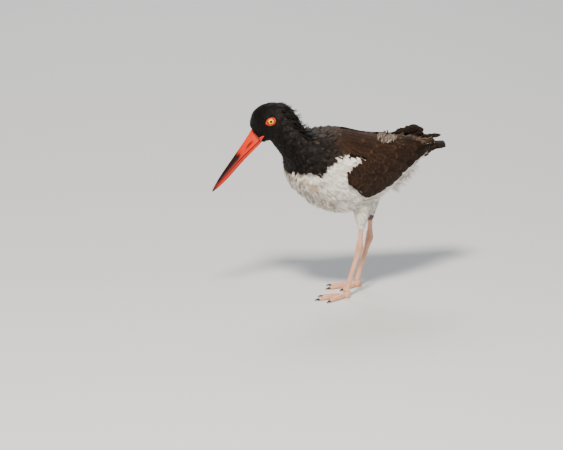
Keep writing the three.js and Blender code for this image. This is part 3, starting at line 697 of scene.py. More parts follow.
def straight_line(root, tip, sideways, bow=0.0):
    """The same for a vane that stands clear of the body, bowed up by some millimetres."""
    t = np.linspace(0, 1, VANE_ROWS + 1)[:, None]
    along = tip - root
    across = np.array(sideways, float)
    normal = unit(np.cross(along, across))
    across = unit(np.cross(normal, along))
    line = root + along * t + normal * bow * MM * np.sin(np.pi * t)
    return line, np.repeat(across[None], len(t), 0), np.repeat(normal[None], len(t), 0)


def vane_mesh(name, sheets, places, material):
    """Joins vanes into one mesh."""
    i, j = np.meshgrid(np.arange(VANE_ROWS), np.arange(VANE_COLUMNS), indexing="ij")
    n = VANE_COLUMNS + 1
    quads = np.stack([i * n + j, (i + 1) * n + j, (i + 1) * n + j + 1, i * n + j + 1], -1).reshape(-1, 4)
    count = (VANE_ROWS + 1) * n
    faces = np.concatenate([quads + k * count for k in range(len(sheets))])
    uvs = np.concatenate([p + (s[2] - [0.5, 0.0]) * [0.003, 0.0015] for s, p in zip(sheets, places)])
    obj = mesh_object(name, np.concatenate([s[0] for s in sheets]), faces,
                      np.concatenate([s[1] for s in sheets]), uvs)
    barbs = np.concatenate([s[2] for s in sheets])
    layer = obj.data.uv_layers.new(name="barbs")
    corners = np.empty(len(obj.data.loops), np.int32)
    obj.data.loops.foreach_get("vertex_index", corners)
    layer.data.foreach_set("uv", barbs[corners].astype(np.float32).ravel())
    obj.data.uv_layers["OFBake"].active = True
    obj.data.materials.append(material)
    for face in obj.data.polygons:
        face.use_smooth = True
    return obj


# Flight-feather keratin: barbs a fraction of a millimetre apart, drawn coarse enough to show, slant from
# the shaft and give a faint silky grain
def flight_material(name, barbs_along):
    material, tree, shader = new_material(name, 0.65, FEATHER_GLOSS)
    place = node(tree, "ShaderNodeUVMap", uv_map="barbs")
    split = node(tree, "ShaderNodeSeparateXYZ", {"Vector": place.outputs["UV"]})
    away = node(tree, "ShaderNodeMath", {0: split.outputs["Y"]}, operation="ABSOLUTE")
    slant = node(tree, "ShaderNodeMath", {0: away.outputs[0], 1: -0.22, 2: split.outputs["X"]},
                 operation="MULTIPLY_ADD")
    grain = noise(tree, 260.0, 3.0)
    shaken = node(tree, "ShaderNodeMath", {0: grain, 1: 0.05, 2: slant.outputs[0]},
                  operation="MULTIPLY_ADD")
    wave = node(tree, "ShaderNodeMath", {0: shaken.outputs[0], 1: barbs_along * 2 * math.pi},
                operation="MULTIPLY")
    stripe = node(tree, "ShaderNodeMath", {0: wave.outputs[0]}, operation="SINE")
    tint = node(tree, "ShaderNodeMapRange", {"Value": stripe.outputs[0], "From Min": -1.0, "From Max": 1.0,
                                             "To Min": 0.86, "To Max": 1.1})
    mottled = node(tree, "ShaderNodeMapRange", {"Value": grain, "From Min": 0.3, "From Max": 0.7,
                                                "To Min": 0.72, "To Max": 1.3})
    both = node(tree, "ShaderNodeMath", {0: tint.outputs[0], 1: mottled.outputs[0]}, operation="MULTIPLY")
    painted(tree, shader, both.outputs[0])
    bumped(tree, shader, stripe.outputs[0], 0.12, 0.35)
    return material


FLIGHT = flight_material("flight_feather_keratin", 44)
STIFF_WIDTH = 12.5  # mm; wider vanes are flight feathers with whole edges
WHOLE_EDGE, TORN_EDGE = 0.12, 0.45  # how ragged the vanes' edges are
RAISED_ROOT, RAISED_BOW = 1.6, 0.6  # mm over the outline, and mm of bow
# Feathers that stand off: root (station, degrees), tip in mm, sideways direction, width in mm, tone
RAISED = {
    "right": [
        ((22.0, 30), (105.5, 13, 196.0), (-0.5, 0.35, 0.8), 9, 0.4),
        ((22.3, 36), (112.5, 13, 191.5), (-0.4, 0.4, 0.8), 11, 0.5),
        ((22.7, 42), (113.5, 14, 185.5), (-0.2, 0.6, 0.75), 12, 0.4),
        ((23.6, 44), (134, 8.5, 183.4), (0.05, 0.75, 0.65), 6, 0.4),
        ((22.3, 86), (110, 15, 175.5), (0.0, -0.3, -0.95), 9, 0.45),
        ((22.4, 80), (115, 12, 179.0), (0.0, -0.3, -0.95), 9, 0.5),
    ],
    "left": [
        ((20.2, 30), (47, -11, 202.0), (0.5, 0.8, -0.2), 6, 1.4),
        ((20.6, 32), (53, -9, 201.5), (0.6, 0.7, -0.3), 6, 1.2),
        ((21.2, 33), (61, -9, 197.5), (0.5, 0.75, -0.4), 6, 1.4),
        ((22.3, 86), (110, -15, 175.5), (0.0, -0.3, 0.95), 9, 0.45),
        ((22.4, 80), (115, -12, 179.0), (0.0, -0.3, 0.95), 9, 0.5),
    ],
}
for name, sign in (("left", 1), ("right", -1)):
    rng = np.random.default_rng(31 if sign > 0 else 32)
    sheets, places = [], []
    for count, root_a, root_b, tip_a, tip_b, bulge, width, lift_root, lift_tip, tone in WING_TIERS:
        for k in range(count):
            f = k / (count - 1)
            bend = math.sin(math.pi * f)
            jolt = rng.uniform(-1, 1, 3)
            root = (root_a[0] + (root_b[0] - root_a[0]) * f - 0.2 * bend + 0.1 * jolt[2],
                    root_a[1] + (root_b[1] - root_a[1]) * f)
            tip = (tip_a[0] + (tip_b[0] - tip_a[0]) * f + 0.2 * jolt[0],
                   tip_a[1] + (tip_b[1] - tip_a[1]) * f + bulge * bend + 2.4 * jolt[1])
            lift_end = lift_tip + 0.35 * (k % 2) + 0.25 * jolt[2]
            tip = (min(tip[0], LAST), tip[1])
            line, across, normal = laid_line(sign, root, tip, lift_root, lift_end)
            w = width * (1 + 0.08 * jolt[0])
            ragged = WHOLE_EDGE if width > STIFF_WIDTH else TORN_EDGE
            sheets.append(vane_sheet(line, across, normal, w * MM, w * w / 360 * MM, tone, rng, ragged))
            places.append(bake_place(root[0], np.radians(root[1]) * sign))
    for root, tip, sideways, width, tone in RAISED[name]:
        start = on_body(root[0], math.radians(root[1]) * sign, RAISED_ROOT)
        end = np.array([tip[0] + SHIFT_X, tip[1], tip[2]]) * MM
        line, across, normal = straight_line(start, end, sideways, RAISED_BOW)
        sheets.append(vane_sheet(line, across, normal, width * MM, 0.5 * MM, tone, rng, 0.5))
        places.append(bake_place(root[0], np.radians(root[1]) * sign))
    wing = vane_mesh("wing_feathers_" + name, sheets, places, FLIGHT)
    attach(wing, "root")
    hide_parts("wing_" + name)

# Tail
# Twelve stiff dark feathers of the same keratin, in a shallow fan that is closed to a rounded end. The
# middle ones lie on top, each a straight vane from the root of the tail.
TAIL = dict(root=(96.0, 174.4), tip=(133.0, 176.8), spread=math.radians(11), feathers=12, width=11.0)
rng = np.random.default_rng(41)
sheets, places = [], []
for k in range(TAIL["feathers"]):
    s = k / (TAIL["feathers"] - 1) * 2 - 1
    turn = TAIL["spread"] * s
    length = (TAIL["tip"][0] - TAIL["root"][0]) * (1 - 0.06 * s * s)
    layer = (1 - abs(s)) * 2.6 + (0.3 if s > 0 else 0.0) - 1.3
    start = np.array([TAIL["root"][0] + SHIFT_X, -6 * s, TAIL["root"][1] + layer]) * MM
    end = start + np.array([length * math.cos(turn), -length * math.sin(turn),
                            TAIL["tip"][1] - TAIL["root"][1] - 1.5 * s * s]) * MM
    line, across, normal = straight_line(start, end, (math.sin(turn), math.cos(turn), 0.16 * s))
    sheets.append(vane_sheet(line, across, normal, TAIL["width"] * MM, 0.4 * MM, 0.35, rng, 0.3))
    places.append(bake_place(24.0, np.pi * 0.3 * s))
tail = vane_mesh("tail_feathers", sheets, places, FLIGHT)
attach(tail, "root")
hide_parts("tail")

# Bill
# A long blade of horn over bone, deeper than wide: red and waxy, darkened along the upper half as in a
# young bird, with a slit nostril near the face, the mouth closed and fleshy at its corner. Painted shade
# darkens the mouth line, the nostril slit, the middle of each corner of the mouth and the underside of the
# lower half.
BILL_ROOT = (-112.3, 204.6)
BILL_DROP = math.radians(51.7)
BILL_LENGTH = 87.6
BILL_ROWS = np.array([  # share of the length, culmen, mouth line, underside, half width, in mm
    [-0.09, 9.6, -6.6, -9.0, 6.4],
    [0.0, 9.7, -6.2, -9.6, 6.0],
    [0.16, 8.2, -4.4, -8.4, 4.8],
    [0.4, 6.6, -1.9, -6.3, 3.4],
    [0.68, 5.0, -0.4, -4.9, 2.5],
    [0.82, 3.8, 0.1, -3.7, 1.9],
    [0.91, 2.6, 0.2, -2.4, 1.5],
    [0.97, 1.5, 0.1, -1.2, 1.0],
    [1.0, 0.8, 0.0, -0.6, 0.7],
])
BILL_STEPS, BILL_SIDES = 110, 40
BILL_ORANGE = linear("#ea3200")
BILL_RED = linear("#c01200")
BILL_DARK = linear("#120d0b")
BILL_HORN = linear("#4a2c16")


def bill_half(name, which):
    """The upper (1) or lower (-1) half of the bill between the mouth line and its outer edge."""
    row = through(BILL_ROWS, np.linspace(0, len(BILL_ROWS) - 1, BILL_STEPS + 1))
    t, culmen, mouth, low, half = (c[:, None] for c in np.moveaxis(row, -1, 0))
    a = np.linspace(0, np.pi, BILL_SIDES + 1)[None, :]
    depth = culmen - mouth if which > 0 else mouth - low
    round_off = np.sin(a) ** 0.8
    side = np.cos(a) * (1 - 0.05 * np.sin(a) ** 4)
    slit = np.exp(-((t - 0.17) / 0.075) ** 4) * np.exp(-((round_off - 0.42) / 0.1) ** 2) * (which > 0)
    furrow = np.exp(-((t - 0.2) / 0.2) ** 4) * np.exp(-((round_off - 0.45) / 0.25) ** 2) * (which > 0)
    ridge = np.exp(-((round_off - 0.22) / 0.12) ** 2) * (which < 0)
    ridge = ridge * smooth((t - 0.02) / 0.1) * smooth((1 - t) / 0.2)
    width = half * (1 - 0.42 * slit - 0.1 * furrow + 0.07 * ridge)
    up = mouth + which * (0.06 + depth * round_off)
    y = width * side
    x = BILL_ROOT[0] - t * BILL_LENGTH * math.cos(BILL_DROP) - up * math.sin(BILL_DROP)
    z = BILL_ROOT[1] - t * BILL_LENGTH * math.sin(BILL_DROP) + up * math.cos(BILL_DROP)
    points = turned(x, y, z, np.zeros_like(x)).reshape(-1, 3)
    # colour: orange at the base, dark along the middle of the upper half, brown horn at the tip; painted
    # shade towards the underside of the lower half
    waver = 0.02 * np.sin(9 * a + 3) + 0.015 * np.sin(23 * a)
    tt = t + waver
    red = BILL_ORANGE + (BILL_RED - BILL_ORANGE) * (smooth((tt - 0.1) / 0.35) * 0.75)[..., None]
    if which > 0:
        dark = smooth((tt - 0.33) / 0.07) * (1 - 0.6 * smooth((tt - 0.8) / 0.1))
        dark = dark * smooth((round_off - 0.12) / 0.2)
        dark = np.clip(dark + 0.25 * smooth((tt - 0.25) / 0.4), 0, 0.97)
    else:
        # the lower half: painted shade towards its underside
        dark = 0.5 * smooth((round_off - 0.55) / 0.4) * smooth((tt - 0.2) / 0.3) * np.ones_like(a)
    shade = red + (BILL_DARK - red) * dark[..., None]
    horn = smooth((tt - 0.86) / 0.1)[..., None] * np.ones_like(a)[..., None]
    shade = shade + (BILL_HORN - shade) * horn * 0.9
    # painted shade: the closed mouth line and the recess of the nostril slit are darkened
    mouth_line_painted_shade = np.exp(-(round_off * depth / 0.35) ** 2)[..., None]
    shade = shade * (1 - 0.85 * mouth_line_painted_shade) * (1 - 0.8 * np.clip(slit, 0, 1))[..., None]
    ring = BILL_SIDES + 1
    i, j = np.meshgrid(np.arange(BILL_STEPS), np.arange(ring), indexing="ij")
    k = (j + 1) % ring
    quads = np.stack([i * ring + j, i * ring + k, (i + 1) * ring + k, (i + 1) * ring + j], -1)
    quads = quads.reshape(-1, 4)
    if which > 0:
        quads = quads[:, ::-1]
    faces = quads.tolist()
    ends = [list(range(ring)), list(range(BILL_STEPS * ring, (BILL_STEPS + 1) * ring))[::-1]]
    if which > 0:
        ends = [e[::-1] for e in ends]
    obj = mesh_object(name, points, faces + ends, shade.reshape(-1, 3))
    for face in obj.data.polygons:
        face.use_smooth = len(face.vertices) == 4
    return obj


# Horn: a dense waxy sheath with faint lengthwise grain under a wet gloss
HORN, tree, shader = new_material("waxy_bill_horn", 0.3, 0.2)
shader.inputs["Coat Weight"].default_value = 0.45
shader.inputs["Coat Roughness"].default_value = 0.08
grain = noise(tree, 700.0, 4.0)
patches = node(tree, "ShaderNodeMapRange", {"Value": grain, "From Min": 0.3, "From Max": 0.7,
                                            "To Min": 0.78, "To Max": 1.12})
painted(tree, shader, patches.outputs["Result"])
bumped(tree, shader, grain, 0.15, 0.3)
GAPE = np.array([  # corner of the mouth, from the bill back: station, degrees from the back, lift in mm
    [0.0, 129, -1.3], [0.4, 120, -0.2], [1.1, 113.5, 0.2], [2.1, 114, 0.2], [3.1, 116.5, 0.2],
])
GAPE_HEIGHT, GAPE_THICK = 2.3, 1.5  # half height and half thickness, in mm
GAPE_ROWS, GAPE_SIDES = 24, 20


def gape_flange(side):
    """The fleshy corner of the mouth that runs back over the cheek from the base of the bill."""
    s, a = tube_grid(np.linspace(0, 1, GAPE_ROWS), GAPE_SIDES)
    u, v, lift = np.moveaxis(through(GAPE, s * (len(GAPE) - 1)), -1, 0)
    taper = np.clip(1 - ((s - 0.2) / 0.82) ** 2, 0.04, 1) ** 0.8
    root, _, normal = body_frame(u, np.radians(v) * side, lift)
    along = np.gradient(root, axis=0)
    across = unit(np.cross(normal, along))
    points = (root + across * (GAPE_HEIGHT * taper * np.cos(a) * MM)[..., None]
              + normal * (GAPE_THICK * taper * np.sin(a) * MM)[..., None]).reshape(-1, 3)
    # painted shade: a dark line along the middle of the flange's outer face, where the mouth line runs on
    gape_painted_shade = np.exp(-(np.cos(a) / 0.16) ** 2) * (np.sin(a) > 0)
    shade = (BILL_ORANGE * (1 - 0.75 * gape_painted_shade)[..., None]).reshape(-1, 3)
    last = (GAPE_ROWS - 1) * GAPE_SIDES
    ends = [list(range(GAPE_SIDES)), list(range(last, last + GAPE_SIDES))[::-1]]
    faces = ring_faces(GAPE_ROWS, GAPE_SIDES).tolist() + ends
    return mesh_object("gape", points, faces, shade)


def joined(pieces, material, rounded=True):
    """Joins closed pieces into the first, turns their faces outwards and gives them their material."""
    shell = bmesh.new()
    for piece in pieces:
        shell.from_mesh(piece.data)
    bmesh.ops.recalc_face_normals(shell, faces=shell.faces)
    if rounded:
        for face in shell.faces:
            face.smooth = True
    shell.to_mesh(pieces[0].data)
    shell.free()
    for piece in pieces[1:]:
        bpy.data.objects.remove(piece)
    pieces[0].data.materials.append(material)
    return pieces[0]


for name, which in (("bill_upper", 1), ("bill_lower", -1)):
    pieces = [bill_half("horn_" + name, which)]
    if which > 0:
        pieces += [gape_flange(1), gape_flange(-1)]
    half = joined(pieces, HORN, rounded=False)
    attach(half, "root")
    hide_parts(name)

# Eyes
# A wet ball with a clear yellow iris, orange at its rim, and a black pupil, inside a raised ring of bare
# red skin that is drawn out towards the bill.
IRIS_YELLOW = linear("#ffc600")
IRIS_ORANGE = linear("#c43a02")
RING_RED = linear("#d63404")
PUPIL_R, IRIS_R, BALL_R = 1.5, 3.75, EYE["r"]  # mm
CORNEA_BULGE = 0.25
EYE_RING = dict(along=6.21, high=4.928, opening=3.75, tilt=math.radians(-24))  # half sizes of the bare ring
RING_EDGE_Y = 17.4  # where the ring meets the feathers, out from the head's middle
RING_STEPS, RING_SIDES = 96, 24


def at_eye(side, x, y, z):
    """Points round the eye: x back, y out from the head, z up, in mm, to the turned head in metres."""
    return turned(EYE["x"] + x, side * y, EYE["z"] + z, np.zeros_like(x))


def eye_ball(name, side):
    """The ball with its colours: b runs from the middle of the pupil round to the back."""
    a, b = np.meshgrid(np.linspace(0, 2 * np.pi, 64, endpoint=False), np.linspace(0, np.pi, 81)[1:-1])
    r = BALL_R + CORNEA_BULGE * np.exp(-(b / 0.5) ** 4)
    points = at_eye(side, r * np.sin(b) * np.cos(a), EYE["y"] + r * np.cos(b), r * np.sin(b) * np.sin(a))
    off = np.where(b < np.pi / 2, BALL_R * np.sin(b), 9.0)
    rays = 1 + 0.12 * np.sin(37 * a) * np.sin(17 * a + 1)
    iris = IRIS_YELLOW * rays[..., None]
    iris = iris + (IRIS_ORANGE - IRIS_YELLOW) * smooth((off - 3.1) / 0.6)[..., None]
    shade = iris * smooth((off - PUPIL_R) / 0.25)[..., None] * (1 - smooth((off - IRIS_R) / 0.3))[..., None]
    rows, ring = b.shape
    poles = np.stack([at_eye(side, np.zeros(1), np.array([EYE["y"] + e]), np.zeros(1))[0]
                      for e in (BALL_R + CORNEA_BULGE, -BALL_R)])
    verts = np.concatenate([points.reshape(-1, 3), poles])
    colours = np.concatenate([shade.reshape(-1, 3), np.zeros((2, 3))])
    return mesh_object(name, verts, capped_faces(rows, ring), colours)


def eye_skin(name, side):
    """The bare ring: a soft ridge between the opening of the lids and the feathers."""
    a, b = tube_grid(np.linspace(0, 2 * np.pi, RING_STEPS, endpoint=False), RING_SIDES)
    tilt = EYE_RING["tilt"]
    point = 1 + 0.16 * np.exp(-((a - np.pi) / 0.35) ** 2)
    inner = EYE_RING["opening"] + 0.06 * np.sin(9 * a)
    outer_x, outer_z = EYE_RING["along"] * point, EYE_RING["high"]
    out = outer_x * outer_z / np.sqrt((outer_z * np.cos(a)) ** 2 + (outer_x * np.sin(a)) ** 2)
    middle, half = (inner + out) / 2, (out - inner) / 2
    r = middle + half * np.cos(b) + 0.12 * np.sin(31 * a) * np.sin(b)
    ball = np.sqrt(BALL_R ** 2 - inner ** 2) + EYE["y"]
    base = ball + (RING_EDGE_Y - ball) * (r - inner) / (out - inner)
    y = base + (0.9 + 0.12 * np.sin(19 * a)) * np.sin(b) + 0.15
    x, z = r * np.cos(a), r * np.sin(a)
    x, z = x * math.cos(tilt) + z * math.sin(tilt), -x * math.sin(tilt) + z * math.cos(tilt)
    points = at_eye(side, x, y, z).reshape(-1, 3)
    # painted shade in the crease where the ring meets the eyeball
    rim = np.exp(-((r - inner) / 0.4) ** 2)
    shade = RING_RED * (1 - 0.85 * rim)[..., None] * (0.9 + 0.1 * np.sin(23 * a))[..., None]
    faces = np.concatenate([ring_faces(RING_STEPS, RING_SIDES), wrap_faces(RING_STEPS, RING_SIDES)])
    return mesh_object(name, points, faces, shade.reshape(-1, 3))


def wrap_faces(rows, ring):
    """The faces that join the last ring of a closed loop to its first."""
    j = np.arange(ring)
    k = (j + 1) % ring
    last = (rows - 1) * ring
    return np.stack([last + j, j, k, last + k], -1)


CORNEA, tree, shader = new_material("wet_eye", 0.12, 0.1)
shader.inputs["Coat Weight"].default_value = 0.22
shader.inputs["Coat Roughness"].default_value = 0.02
painted(tree, shader)
BARE_SKIN, tree, shader = new_material("bare_ring_skin", 0.42, 0.5)
shader.inputs["Subsurface Weight"].default_value = 0.15
shader.inputs["Subsurface Scale"].default_value = 1.0 * MM
painted(tree, shader)
bumped(tree, shader, noise(tree, 1800.0, 2.0), 0.2)
for name, side in (("left", -1), ("right", 1)):
    ball = joined([eye_ball("eye_ball_" + name, side)], CORNEA)
    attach(ball, "root")
    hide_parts("eye_" + name)
    ring = joined([eye_skin("bare_eye_ring_" + name, side)], BARE_SKIN)
    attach(ring, "root")
    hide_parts("eye_ring_" + name)

# Legs
# Bare legs of flesh-pink skin covered in small horny scales, swollen at the ankle, with three forward
# toes on padded soles, larger plates down their fronts and short dark claws.
def limb(name, axis, radii, across, ring, colours):
    """A closed tube round an axis, with two radii and a colour at each point; the second runs across."""
    tangent = unit(np.gradient(axis, axis=0))
    fore = unit(np.cross(np.broadcast_to(across, axis.shape), tangent))
    beside = np.cross(tangent, fore)
    a = np.linspace(0, 2 * np.pi, ring, endpoint=False)
    grid = (axis[:, None] + fore[:, None] * (radii[:, :1] * np.cos(a))[..., None]
            + beside[:, None] * (radii[:, 1:] * np.sin(a))[..., None])
    grid[..., 2] = np.maximum(grid[..., 2], 0.0)
    points = np.concatenate([grid.reshape(-1, 3), axis[:1], axis[-1:]])
    points[:, 2] = np.maximum(points[:, 2], 0.0)
    shades = np.concatenate([np.repeat(colours, ring, 0), colours[:1], colours[-1:]])
    return mesh_object(name, points * MM, capped_faces(len(axis), ring), shades)


LEG_PINK = linear("#eeb697")
LEG_DEEP = linear("#c98a70")
# painted shade for the top of the far leg's bare shank
FAR_SHANK_PAINTED_SHADE = linear("#8f6c66")
CLAW_DARK = linear("#2a211c")
# Scaly skin: cells a millimetre across with darker creases between them
LEG_SKIN, tree, shader = new_material("scaled_leg_skin", 0.5, 0.45)
shader.inputs["Subsurface Weight"].default_value = 0.12
shader.inputs["Subsurface Scale"].default_value = 2.0 * MM
where = node(tree, "ShaderNodeTexCoord")
cells = node(tree, "ShaderNodeTexVoronoi", {"Vector": where.outputs["Object"], "Scale": 800.0},
             feature="DISTANCE_TO_EDGE")
crease = node(tree, "ShaderNodeMapRange", {"Value": cells.outputs["Distance"], "From Max": 0.16,
                                           "To Min": 0.62, "To Max": 1.04})
painted(tree, shader, crease.outputs["Result"])
bumped(tree, shader, crease.outputs["Result"], 0.25, 0.6)
CLAW_HORN, tree, shader = new_material("claw_horn", 0.3, 0.5)
painted(tree, shader)

LEG_ROWS = np.array([  # steps down the leg: radius fore and aft, radius across, in mm
    [3.1, 3.0], [3.0, 2.9], [2.9, 2.75], [3.0, 2.8], [3.7, 3.3], [4.3, 3.8], [4.2, 3.6], [3.4, 2.9],
    [2.9, 2.45], [2.8, 2.4], [2.8, 2.4], [2.8, 2.4], [2.85, 2.45], [3.0, 2.7], [3.7, 3.5],
])
LEG_HEIGHTS = np.array([90, 84, 77, 71, 66, 61, 57, 52, 46, 39, 32, 25, 18, 12.5, 8.0])
TOES = [  # name, side, degrees outwards, length, radius, share of the length of each joint
    ("inner", 1, 27, 28.0, 2.5, (0.45,)),
    ("middle", 0, 0, 36.0, 2.8, (0.36, 0.7)),
    ("outer", -1, 26, 31.0, 2.5, (0.32, 0.56, 0.78)),
]
HEEL_ROWS = np.array([  # back from the root of the toes, height, radius fore and aft, radius across, in mm
    [2.6, 8.8, 3.6, 3.4], [1.2, 6.0, 4.6, 4.3], [0.6, 3.4, 5.2, 4.9], [0.0, 1.2, 5.1, 4.9],
    [0.0, 0.0, 4.4, 4.3],
])
LEG_STEPS, TOE_STEPS, CLAW_STEPS = 90, 44, 16
SCUTES_FROM = 24  # step of the leg, just above the ankle
ANKLE_Z, ROOT_Z = 60, 7.0  # mm
CLAW_LENGTH, CLAW_THICK = 6.5, 1.4
CLAW_GAP = 0.3
WEB = np.array([[0, 0], [-13, 0], [-11.5, -5.6], [-2, -2.0]])  # corners from the root of the toes, outwards
WEB_HEIGHTS = (0.1, 1.6)
ALONG_Y, UP = (0, 1, 0), np.array([0, 0, 1.0])
scute_lines = {"left": [], "right": []}
for side, leg in LEGS.items():
    inward = 1 if side == "left" else -1
    z = np.linspace(LEG_HEIGHTS[0], LEG_HEIGHTS[-1], LEG_STEPS)
    rows = np.interp(z[::-1], LEG_HEIGHTS[::-1], np.arange(len(LEG_HEIGHTS))[::-1])[::-1]
    radii = through(LEG_ROWS, rows)
    (ax, az), (tx, tz), fx = leg["ankle"], leg["top"], leg["toes"]
    x = np.where(z > az, ax + (tx - ax) * (z - az) / (tz - az), ax + (fx - ax) * (az - z) / (az - ROOT_Z))
    axis = np.stack([x + SHIFT_X, leg["y"] + 0 * x, z], -1)
    knob = np.exp(-((z - ANKLE_Z) / 6) ** 2)[:, None]
    colours = LEG_PINK * (1 - 0.5 * knob) + LEG_DEEP * 0.5 * knob
    # painted shade darkens the top of the far shank
    if side == "right":
        top = smooth((z - 80) / 6)[:, None]
        colours = colours * (1 - top) + FAR_SHANK_PAINTED_SHADE * top
    tubes = [limb("leg_skin_" + side, axis, radii, ALONG_Y, 32, colours)]
    front = (axis - np.stack([radii[:, 0], 0 * x, 0 * x], -1))[SCUTES_FROM:]
    scute_lines[side].append((front, np.tile([-1.0, 0, -0.15], (len(front), 1)), radii[SCUTES_FROM:, 1]))
    back, height = HEEL_ROWS[:, 0], HEEL_ROWS[:, 1]
    heel_axis = np.stack([fx + back + SHIFT_X, leg["y"] + 0 * back, height], -1)
    pink = np.tile(LEG_PINK, (len(HEEL_ROWS), 1))
    tubes.append(limb("heel_pad_" + side, heel_axis, HEEL_ROWS[:, 2:], ALONG_Y, 28, pink))
    for toe, outwards, degrees, length, r, joints in TOES:
        turn = math.radians(degrees) * outwards * inward
        ahead = np.array([-math.cos(turn), math.sin(turn), 0.0])
        s = np.linspace(-0.1, 1.0, TOE_STEPS)
        swell = sum(0.12 * np.exp(-((s - joint) / 0.06) ** 2) for joint in joints)
        blunt = np.sqrt(np.clip((1.03 - s) / 0.06, 0.1, 1))
        radius = r * (1.08 - 0.3 * smooth((s - 0.2) / 0.75) + swell) * blunt
        base = np.array([fx + SHIFT_X, leg["y"], 0.0])
        axis = base + ahead * (length * s)[:, None] + 0.93 * UP * radius[:, None]
        side_dir = np.cross(ahead, UP)
        creased = LEG_PINK * (1 - 0.25 * np.exp(-((s[:, None] % 0.11) / 0.02) ** 2))
        tubes.append(limb("toe_" + side + toe, axis, np.stack([radius, radius], 1), side_dir, 20, creased))
        above = (axis + UP * radius[:, None])[6:-3]
        scute_lines[side].append((above, np.tile(UP, (len(above), 1)), radius[6:-3]))
        c = np.linspace(0, 1, CLAW_STEPS)
        reach = length + CLAW_GAP + CLAW_LENGTH * c
        claw_z = 1.7 + 0.5 * np.sin(math.pi * c * 0.8) - 1.3 * c ** 2
        claw_r = CLAW_THICK * (1 - c) ** 0.7 + 0.12
        claw_axis = base + ahead * reach[:, None] + UP * claw_z[:, None]
        claw_radii = np.stack([claw_r, claw_r * 0.8], 1)
        claw_shades = CLAW_DARK * (1 + 1.2 * (1 - c[:, None]))
        claw = limb("claw_horn_" + side + "_" + toe, claw_axis, claw_radii, side_dir, 16, claw_shades)
        claw = joined([claw], CLAW_HORN)
        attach(claw, "root")
        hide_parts("claw_" + side + "_" + toe)
    corners = WEB * [1, inward]
    web_points = [[fx + SHIFT_X + wx, leg["y"] + wy, wz] for wz in WEB_HEIGHTS for wx, wy in corners]
    web_faces = [[3, 2, 1, 0], [4, 5, 6, 7]] + [[k, (k + 1) % 4, 4 + (k + 1) % 4, 4 + k] for k in range(4)]
    tubes.append(mesh_object("toe_web_" + side, np.array(web_points) * MM, np.array(web_faces),
                             np.tile(LEG_PINK * 0.9, (8, 1))))
    skin = joined(tubes, LEG_SKIN)
    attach(skin, "root")
    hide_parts("shank_" + side, "tarsus_" + side, "foot_" + side)

# Scutes
# Overlapping horny plates in a row down the front of each tarsus and along the top of each toe. They are
# flattened shells that Geometry Nodes lay along a line on the limb, as wide as the limb is there.
SCUTE_SPACING, SCUTE_THICK = 1.9, 0.42  # mm
SCUTE_WIDTH = 0.8  # of the limb's radius
scute_tree = bpy.data.node_groups.new("scutes_along_a_line", "GeometryNodeTree")
for socket, kind in (("Line", "NodeSocketGeometry"), ("Spacing", "NodeSocketFloat"),
                     ("Thickness", "NodeSocketFloat"), ("Skin", "NodeSocketMaterial")):
    scute_tree.interface.new_socket(socket, in_out="INPUT", socket_type=kind)
scute_tree.interface.new_socket("Scutes", in_out="OUTPUT", socket_type="NodeSocketGeometry")
given = node(scute_tree, "NodeGroupInput")
curve = node(scute_tree, "GeometryNodeMeshToCurve", {"Mesh": given.outputs["Line"]})
spaced = node(scute_tree, "GeometryNodeResampleCurve",
              {"Curve": curve.outputs[0], "Length": given.outputs["Spacing"]}, mode="LENGTH")
points = node(scute_tree, "GeometryNodeCurveToPoints", {"Curve": spaced.outputs[0]}, mode="EVALUATED")
plate = node(scute_tree, "GeometryNodeMeshUVSphere", {"Segments": 10, "Rings": 6, "Radius": 1.0})
outward = node(scute_tree, "GeometryNodeInputNamedAttribute", {"Name": "outward"},
               data_type="FLOAT_VECTOR")
half_width = node(scute_tree, "GeometryNodeInputNamedAttribute", {"Name": "half_width"}, data_type="FLOAT")
facing = node(scute_tree, "FunctionNodeAlignRotationToVector",
              {"Vector": outward.outputs["Attribute"]}, axis="Z")
facing = node(scute_tree, "FunctionNodeAlignRotationToVector",
              {"Rotation": facing.outputs[0], "Vector": points.outputs["Tangent"]},
              axis="X", pivot_axis="Z")
long_half = node(scute_tree, "ShaderNodeMath", {0: given.outputs["Spacing"], 1: 0.62}, operation="MULTIPLY")
size = node(scute_tree, "ShaderNodeCombineXYZ", {
    "X": long_half.outputs[0], "Y": half_width.outputs["Attribute"], "Z": given.outputs["Thickness"],
})
laid = node(scute_tree, "GeometryNodeInstanceOnPoints", {
    "Points": points.outputs["Points"], "Instance": plate.outputs["Mesh"], "Rotation": facing.outputs[0],
    "Scale": size.outputs["Vector"],
})
real = node(scute_tree, "GeometryNodeRealizeInstances", {"Geometry": laid.outputs[0]})
skinned = node(scute_tree, "GeometryNodeSetMaterial",
               {"Geometry": real.outputs[0], "Material": given.outputs["Skin"]})
node(scute_tree, "NodeGroupOutput", {"Scutes": skinned.outputs[0]})
SCUTE_SKIN, tree, shader = new_material("horny_scute", 0.42, 0.5)
shader.inputs["Base Color"].default_value = (*LEG_PINK, 1)
